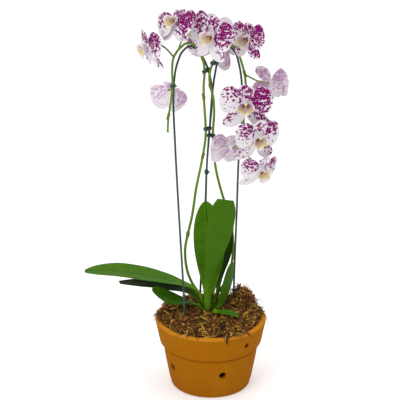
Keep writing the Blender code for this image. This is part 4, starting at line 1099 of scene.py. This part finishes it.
def build_spike(node, letter, points, joints, material):
    """A flower spike: a stem swollen at its joints, a sheath at each, and the blooms' pedicels.

    A pedicel's radius dips as half a sine wave and grows as the cube of the way to its bloom.
    """
    stations = np.linspace(0, 1, SPIKE_STATIONS)
    path = smooth(points, stations)
    along = stations * length_of(points)
    spike = Shape()
    add_tube(spike, path, stem_radii(along, joints, SPIKE_RADIUS), STEM_SIDES, seed=len(points))
    for mark in joints:
        add_sheath(spike, path, along, mark, SPIKE_RADIUS * (1 - STEM_TAPER * mark / along[-1]))
    for bloom in BLOOMS:
        if bloom["spike"] != letter:
            continue
        curve = pedicel_path(bloom, path)
        t = np.linspace(0, 1, len(curve))
        radii = PEDICEL_RADIUS * (1 - 0.1 * np.sin(math.pi * t) + 0.5 * t**3)
        shade = np.zeros((len(curve) + 2, PEDICEL_SIDES, 3))
        shade[..., 1] = PEDICEL_DARK * (bloom["centre"][0] < PEDICEL_DARK_LEFT)
        shade[1:-1, :, 2] = (0.7 * ease(0.35, 1.0, t))[:, None]
        add_tube(spike, curve, radii, PEDICEL_SIDES, seed=bloom["yaw"] % 10, paint=shade)
    make_piece(spike, node + "_skin", material, [node])


def build_hoop(node, points, material):
    """A bent wire with its coating: one even tube along the hoop's curve."""
    hoop = Shape()
    add_tube(hoop, smooth(points, np.linspace(0, 1, HOOP_STATIONS)), HOOP_RADIUS, STEM_SIDES)
    make_piece(hoop, node + "_wire", material, [node])


def build_clip(number, first, second, radii, near, material):
    """A band round two stems and the small tab that opens it.

    The band's wall follows the outline that two circles and their tangents make: in each
    direction it stands off whichever stem reaches further.
    """
    near = np.array(near, float)
    one, other = (path[np.argmin(np.linalg.norm(path - near, axis=1))] for path in (first, second))
    k = np.argmin(np.linalg.norm(first - near, axis=1))
    axis = unit(first[k + 1] - first[k - 1])
    other = other - axis * np.dot(other - one, axis)
    across = unit(other - one)
    up = np.cross(axis, across)
    turn = 2 * math.pi * (np.arange(CLIP_SIDES) + 0.5) / CLIP_SIDES
    out = np.cos(turn)[:, None] * across + np.sin(turn)[:, None] * up
    nearer = out @ one + radii[0] >= out @ other + radii[1]
    centre = np.where(nearer[:, None], one, other)
    radius = np.where(nearer, radii[0], radii[1]) + CLIP_GAP
    rings = [centre + out * (radius + grow * CLIP_WALL)[:, None] + axis * level * CLIP_HEIGHT / 2
             for level, grow in CLIP_SECTION]
    rings.append(rings[0])
    clip = Shape()
    clip.add(np.array(rings), cells(len(rings), CLIP_SIDES, closed=True))
    tab = (one + other) / 2 + up * (max(radii) + CLIP_WALL)
    add_tube(clip, tab + np.outer(TAB_HEIGHTS, up), TAB_RADII, TAB_SIDES)
    make_piece(clip, f"clip_{number}_band", material, [f"clip_{number}"])


def tepal_surface(turn, form, share, bend, lean, phase):
    """One tepal's middle surface in bloom space, and the shares along and across it.

    Its half width grows as u to the power `claw` and closes as the square root towards the
    tip. Its height follows a line and a square along it, and a square across it, less a groove
    along its middle, and its edge waves one and a half times.
    """
    length, claw = form["length"] * share, form["claw"]
    u = drawn_in(TEPAL_ROWS, 0.93) * 0.982 + 0.015
    v = spread_out(TEPAL_COLUMNS)
    peak = claw / (claw + 0.5)
    outline = (u / peak) ** claw * ((1 - u) / (1 - peak)) ** 0.5
    half = np.maximum(form["width"] / 2 * outline, TEPAL_CLAW * (1 - u))
    u, v, half = u[:, None], v[None, :], half[:, None]
    along = length * u
    across = half * v + lean * length * 0.06 * np.sin(math.pi * u)
    height = form["lift"] + length * (bend[0] * u + bend[1] * u**2) + form["cup"] * half * v**2
    height = height + form["wave"] * u * v**2 * np.sin(3 * math.pi * u + phase + 1.3 * v)
    height = height - TEPAL_GROOVE * np.exp(-((half * v / TEPAL_GROOVE_WIDTH) ** 2)) * (1 - u)
    angle = math.radians(turn)
    x = along * math.sin(angle) + across * math.cos(angle)
    y = along * math.cos(angle) - across * math.sin(angle)
    return np.stack([x, y, height], -1), *np.broadcast_arrays(u, v, half * v)


def coverage(amount, u, v, top):
    """How much the blotches cover: less at the root, along the edge and on the lower side."""
    root = ease(0.04, 0.25, u)
    edge = 1 - ease(0.75, 1.02, np.maximum(np.abs(v) * 0.97, u))
    return np.clip((amount - 0.04 + 0.4 * top) * (0.3 + 0.7 * root) * (0.45 + 0.55 * edge), 0, 1)


def add_tepals(shape, number, bloom):
    """The five tepals of a bloom and its hub, in their places in the part's space.

    Each tepal thins towards its edge as the square root of one less a high power of the way out.
    """
    matrix = bloom_matrix(bloom)
    top_cover, low_right, low_left, right, left = bloom["paint"]
    sweep = bloom["sweep"]
    low_bend = (-0.03 - sweep / 2, -0.1)
    petal_bend = (0.12 - sweep, -0.12)
    low = bloom.get("low", 1)
    petal_angle = PETAL_ANGLE + bloom.get("droop", 0)
    tepals = [(0, TOP_SEPAL, bloom.get("top", 1), (bloom["hood"], -0.1), 0, number, top_cover)]
    for side, amount in ((1, low_right), (-1, low_left)):
        tepals.append((side * LOWER_SEPAL_ANGLE, LOWER_SEPAL, low, low_bend, side, number + side, amount))
    for side, amount in ((1, right), (-1, left)):
        tepals.append((side * petal_angle, PETAL, 1, petal_bend, 0, 2 * number + side, amount))
    for k, (turn, form, share, bend, lean, phase, amount) in enumerate(tepals):
        middle, u, v, across = tepal_surface(turn, form, share, bend, lean, phase)
        seed = 3.1 * number + 1.7 * k
        flat = np.stack(np.broadcast_arrays(across / CM, u * form["length"] * share / CM, seed), -1)
        paint = np.stack([coverage(amount, u, v, -v * np.sign(turn)), v, np.zeros(v.shape)], -1)
        full = np.sqrt(np.clip(1 - np.maximum(np.abs(v), u - 0.02) ** 10, 0, 1))
        half = bloom["size"] * TEPAL_HALF * (EDGE_SHARE + (1 - EDGE_SHARE) * full)
        add_shell(shape, placed(middle, matrix), half, flat, paint)
    hub = placed(np.outer(HUB_LEVELS, (0, 0, 1)), matrix)
    add_tube(shape, hub, bloom["size"] * np.array(HUB_RADII), HUB_SIDES, paint=(0, 0, 1))


def lip_colours(rho, low, warm):
    """The colour of the lip's inside: coats over a ground between mauve and cream.

    Each coat is a colour and its share, a product of smooth steps in the way out and in the
    angle from the tip: a dark throat, pale side lobes, a yellow front, a white tip, a gold eye.
    """
    colour = linear("c4a3b3") * (1 - warm) + linear("e0d8b8") * warm
    coats = [
        ("6e3638", 0.92 * ease(0.62, 0.24, rho) * ease(0.25, 0.8, low)),
        ("e4dde0", ease(0.74, 0.98, rho) * ease(1.0, 1.6, low)),
        ("d6c866", 0.85 * ease(0.55, 0.85, rho) * ease(1.6, 1.0, low)),
        ("ebe6e0", ease(0.6, 0.85, rho) * np.exp(-((low / TIP_SPREAD) ** 2))),
        ("b98f45", 0.6 * np.exp(-((rho / 0.3) ** 2))),
    ]
    for code, share in coats:
        colour = colour + (linear(code) - colour) * share[..., None]
    return colour


def add_lip(shape, bloom):
    """The lip: a bowl about an axis below the column, as a function of the angle from straight down
    and of the share of the way out. Its rim reaches furthest at the tip below, is nicked beside it,
    stands up in a lobe on each side, and is cut back at the top, where the column lies."""
    matrix = bloom_matrix(bloom, bloom.get("lip", 1))
    rho = np.linspace(0, 1, LIP_RINGS)[:, None]
    phi = np.linspace(LIP_TURN, -LIP_TURN, LIP_COLUMNS)[None]
    low = np.abs(phi)
    tip = np.exp(-((low / TIP_SPREAD) ** 2))
    nick = np.exp(-(((low - 0.75) / 0.2) ** 2))
    lobe = np.exp(-(((low - 1.7) / 0.6) ** 2))
    notch = ease(2.2, 2.9, low)
    reach = LIP_REACH + 4.2 * tip - 1.2 * nick + 1.8 * lobe - 5.4 * notch
    x = rho * reach * np.sin(phi) * 1.04
    y = LIP_DROP - rho * reach * np.cos(phi)
    depth = LIP_FLOOR + LIP_DEPTH * rho**1.6 * (1 - 0.45 * notch) - tip * rho**4 + 2.0 * lobe * rho**3
    warm = bloom.get("warm", 0.4)
    veins = (0.85 - 0.5 * warm) * ease(0.98, 0.7, rho) * ease(0.12, 0.35, rho)
    veins = veins * (0.35 + 0.65 * ease(0.5, 1.1, low))
    golden = (0.4 * ease(0.8, 1.0, rho) * ease(1.6, 1.0, low))[..., None]
    back = linear("ddd4da") + (linear("d6c878") - linear("ddd4da")) * golden
    middle = placed(np.stack([x, y, depth], -1), matrix)
    flat = np.stack(np.broadcast_arrays(phi, rho, veins), -1)
    add_shell(shape, middle, bloom["size"] * LIP_HALF, flat, lip_colours(rho, low, warm), back)
    add_column(shape, bloom["size"], matrix)


def add_column(shape, size, matrix):
    """The white column over the cup with its cap, the yellow callus below it, and two fine cirri:
    tubes along short curves, with radii that swell and close."""
    stations = np.linspace(0, 1, COLUMN_STATIONS)
    column = placed(smooth(COLUMN_LINE, stations), matrix)
    add_tube(shape, column, size * np.interp(stations, *COLUMN_SWELL), 16, paint=linear("ded2da"))
    add_tube(shape, placed(CAP_LINE, matrix), size * np.array(CAP_RADII), 14, paint=linear("e2c8ae"))
    add_tube(shape, placed(CALLUS_LINE, matrix), size * np.array(CALLUS_RADII), 12, paint=linear("cda653"))
    for side in (1, -1):
        curl = smooth(np.array(CIRRUS_LINE) * (side, 1, 1), np.linspace(0, 1, CIRRUS_STATIONS))
        radii = size * np.linspace(*CIRRUS_RADII, CIRRUS_STATIONS)
        add_tube(shape, placed(curl, matrix), radii, 6, paint=linear("e3d3a0"))


def build_bloom(number, bloom, petal, lip):
    """A bloom as two pieces: its tepals on their hub, and its lip with the column."""
    tepals = Shape()
    add_tepals(tepals, number, bloom)
    make_piece(tepals, f"bloom_{number:02d}_flower", petal, [f"bloom_{number:02d}_tepals"])
    mouth = Shape()
    add_lip(mouth, bloom)
    make_piece(mouth, f"bloom_{number:02d}_mouth", lip, [f"bloom_{number:02d}_lip"])


def build_crown(material):
    """The crown: a short tapering stem wrapped by the leaves' bases."""
    heights = np.linspace(CROWN_HEIGHTS[0], CROWN_HEIGHTS[-1], CROWN_RINGS)
    shares = np.interp(heights, CROWN_HEIGHTS, CROWN_SHARES)
    path = np.array([*CROWN_PLACE, 0]) + np.outer(heights, (0, 0, 1))
    crown = Shape()
    add_tube(crown, path, CROWN_RADIUS * shares, CROWN_SIDES)
    make_piece(crown, "crown_sheaths", material, ["crown"])


def build_floor():
    """A pale floor, a flat square about the origin, that glows a little so that it stays white."""
    mesh = bpy.data.meshes.new("floor")
    corners = [(x * FLOOR_HALF, y * FLOOR_HALF, 0) for x, y in ((-1, -1), (1, -1), (1, 1), (-1, 1))]
    mesh.from_pydata(corners, [], [(0, 1, 2, 3)])
    floor = bpy.data.objects.new("floor", mesh)
    bpy.context.scene.collection.objects.link(floor)
    made, _, shader = new_material("pale floor", 0.9)
    shader.inputs["Base Color"].default_value = rgba("f8f8f8")
    shader.inputs["Emission Color"].default_value = rgba("ffffff")
    shader.inputs["Emission Strength"].default_value = FLOOR_GLOW
    mesh.materials.append(made)


def build_studio():
    """An even bright surround and three large soft lights, each turned towards the plant."""
    world = bpy.data.worlds.new("surround")
    world.use_nodes = True
    background = world.node_tree.nodes["Background"]
    background.inputs["Color"].default_value = rgba("ffffff")
    background.inputs["Strength"].default_value = SURROUND_STRENGTH
    bpy.context.scene.world = world
    bpy.context.scene.view_settings.view_transform = "Standard"
    for name, place, size, power in LIGHTS:
        light = bpy.data.lights.new(name, "AREA")
        light.size = size
        light.energy = power
        lamp = bpy.data.objects.new(name, light)
        lamp.location = place
        aim = np.array(LIGHT_AIM) - place
        tilt, turn = math.atan2(np.hypot(aim[0], aim[1]), -aim[2]), math.atan2(-aim[0], aim[1])
        lamp.rotation_euler = (tilt, 0, turn)
        bpy.context.scene.collection.objects.link(lamp)


def build_camera():
    """The photograph's view, fitted to the pot's ellipses."""
    data = bpy.data.cameras.new("camera")
    data.sensor_width = IMAGE_WIDTH
    data.lens = CAMERA_LENS
    camera = bpy.data.objects.new("camera", data)
    camera.location = CAMERA_PLACE
    camera.rotation_euler = (math.radians(90 - CAMERA_DIP), 0, 0)
    bpy.context.scene.collection.objects.link(camera)
    bpy.context.scene.camera = camera


def main():
    """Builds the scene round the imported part."""
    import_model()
    build_camera()
    build_floor()
    build_studio()
    build_pot(clay_material())
    build_bed(bed_material())
    strand = strand_material()
    for name, form in STRANDS.items():
        build_strands(name, strand, **form)
    leaf = leaf_material()
    for name, form in LEAVES.items():
        build_leaf(name, leaf, **form)
    stem = stem_material()
    build_crown(stem)
    build_spike("flower_spike_a", "a", SPIKE_A, SPIKE_A_JOINTS, stem)
    build_spike("flower_spike_b", "b", SPIKE_B, SPIKE_B_JOINTS, stem)
    wire = wire_material()
    routes = {"hoop_left": HOOP_LEFT, "hoop_right": HOOP_RIGHT, "spike_a": SPIKE_A, "spike_b": SPIKE_B}
    paths = {name: smooth(points, np.linspace(0, 1, CLIP_STATIONS)) for name, points in routes.items()}
    radii = {name: HOOP_RADIUS if "hoop" in name else SPIKE_RADIUS for name in paths}
    for name in ("hoop_left", "hoop_right"):
        build_hoop(name, routes[name], wire)
    for number, (first, second, near) in enumerate(CLIPS, 1):
        build_clip(number, paths[first], paths[second], (radii[first], radii[second]), near, wire)
    petal, lip = petal_material(), lip_material()
    for number, bloom in enumerate(BLOOMS, 1):
        build_bloom(number, bloom, petal, lip)


main()
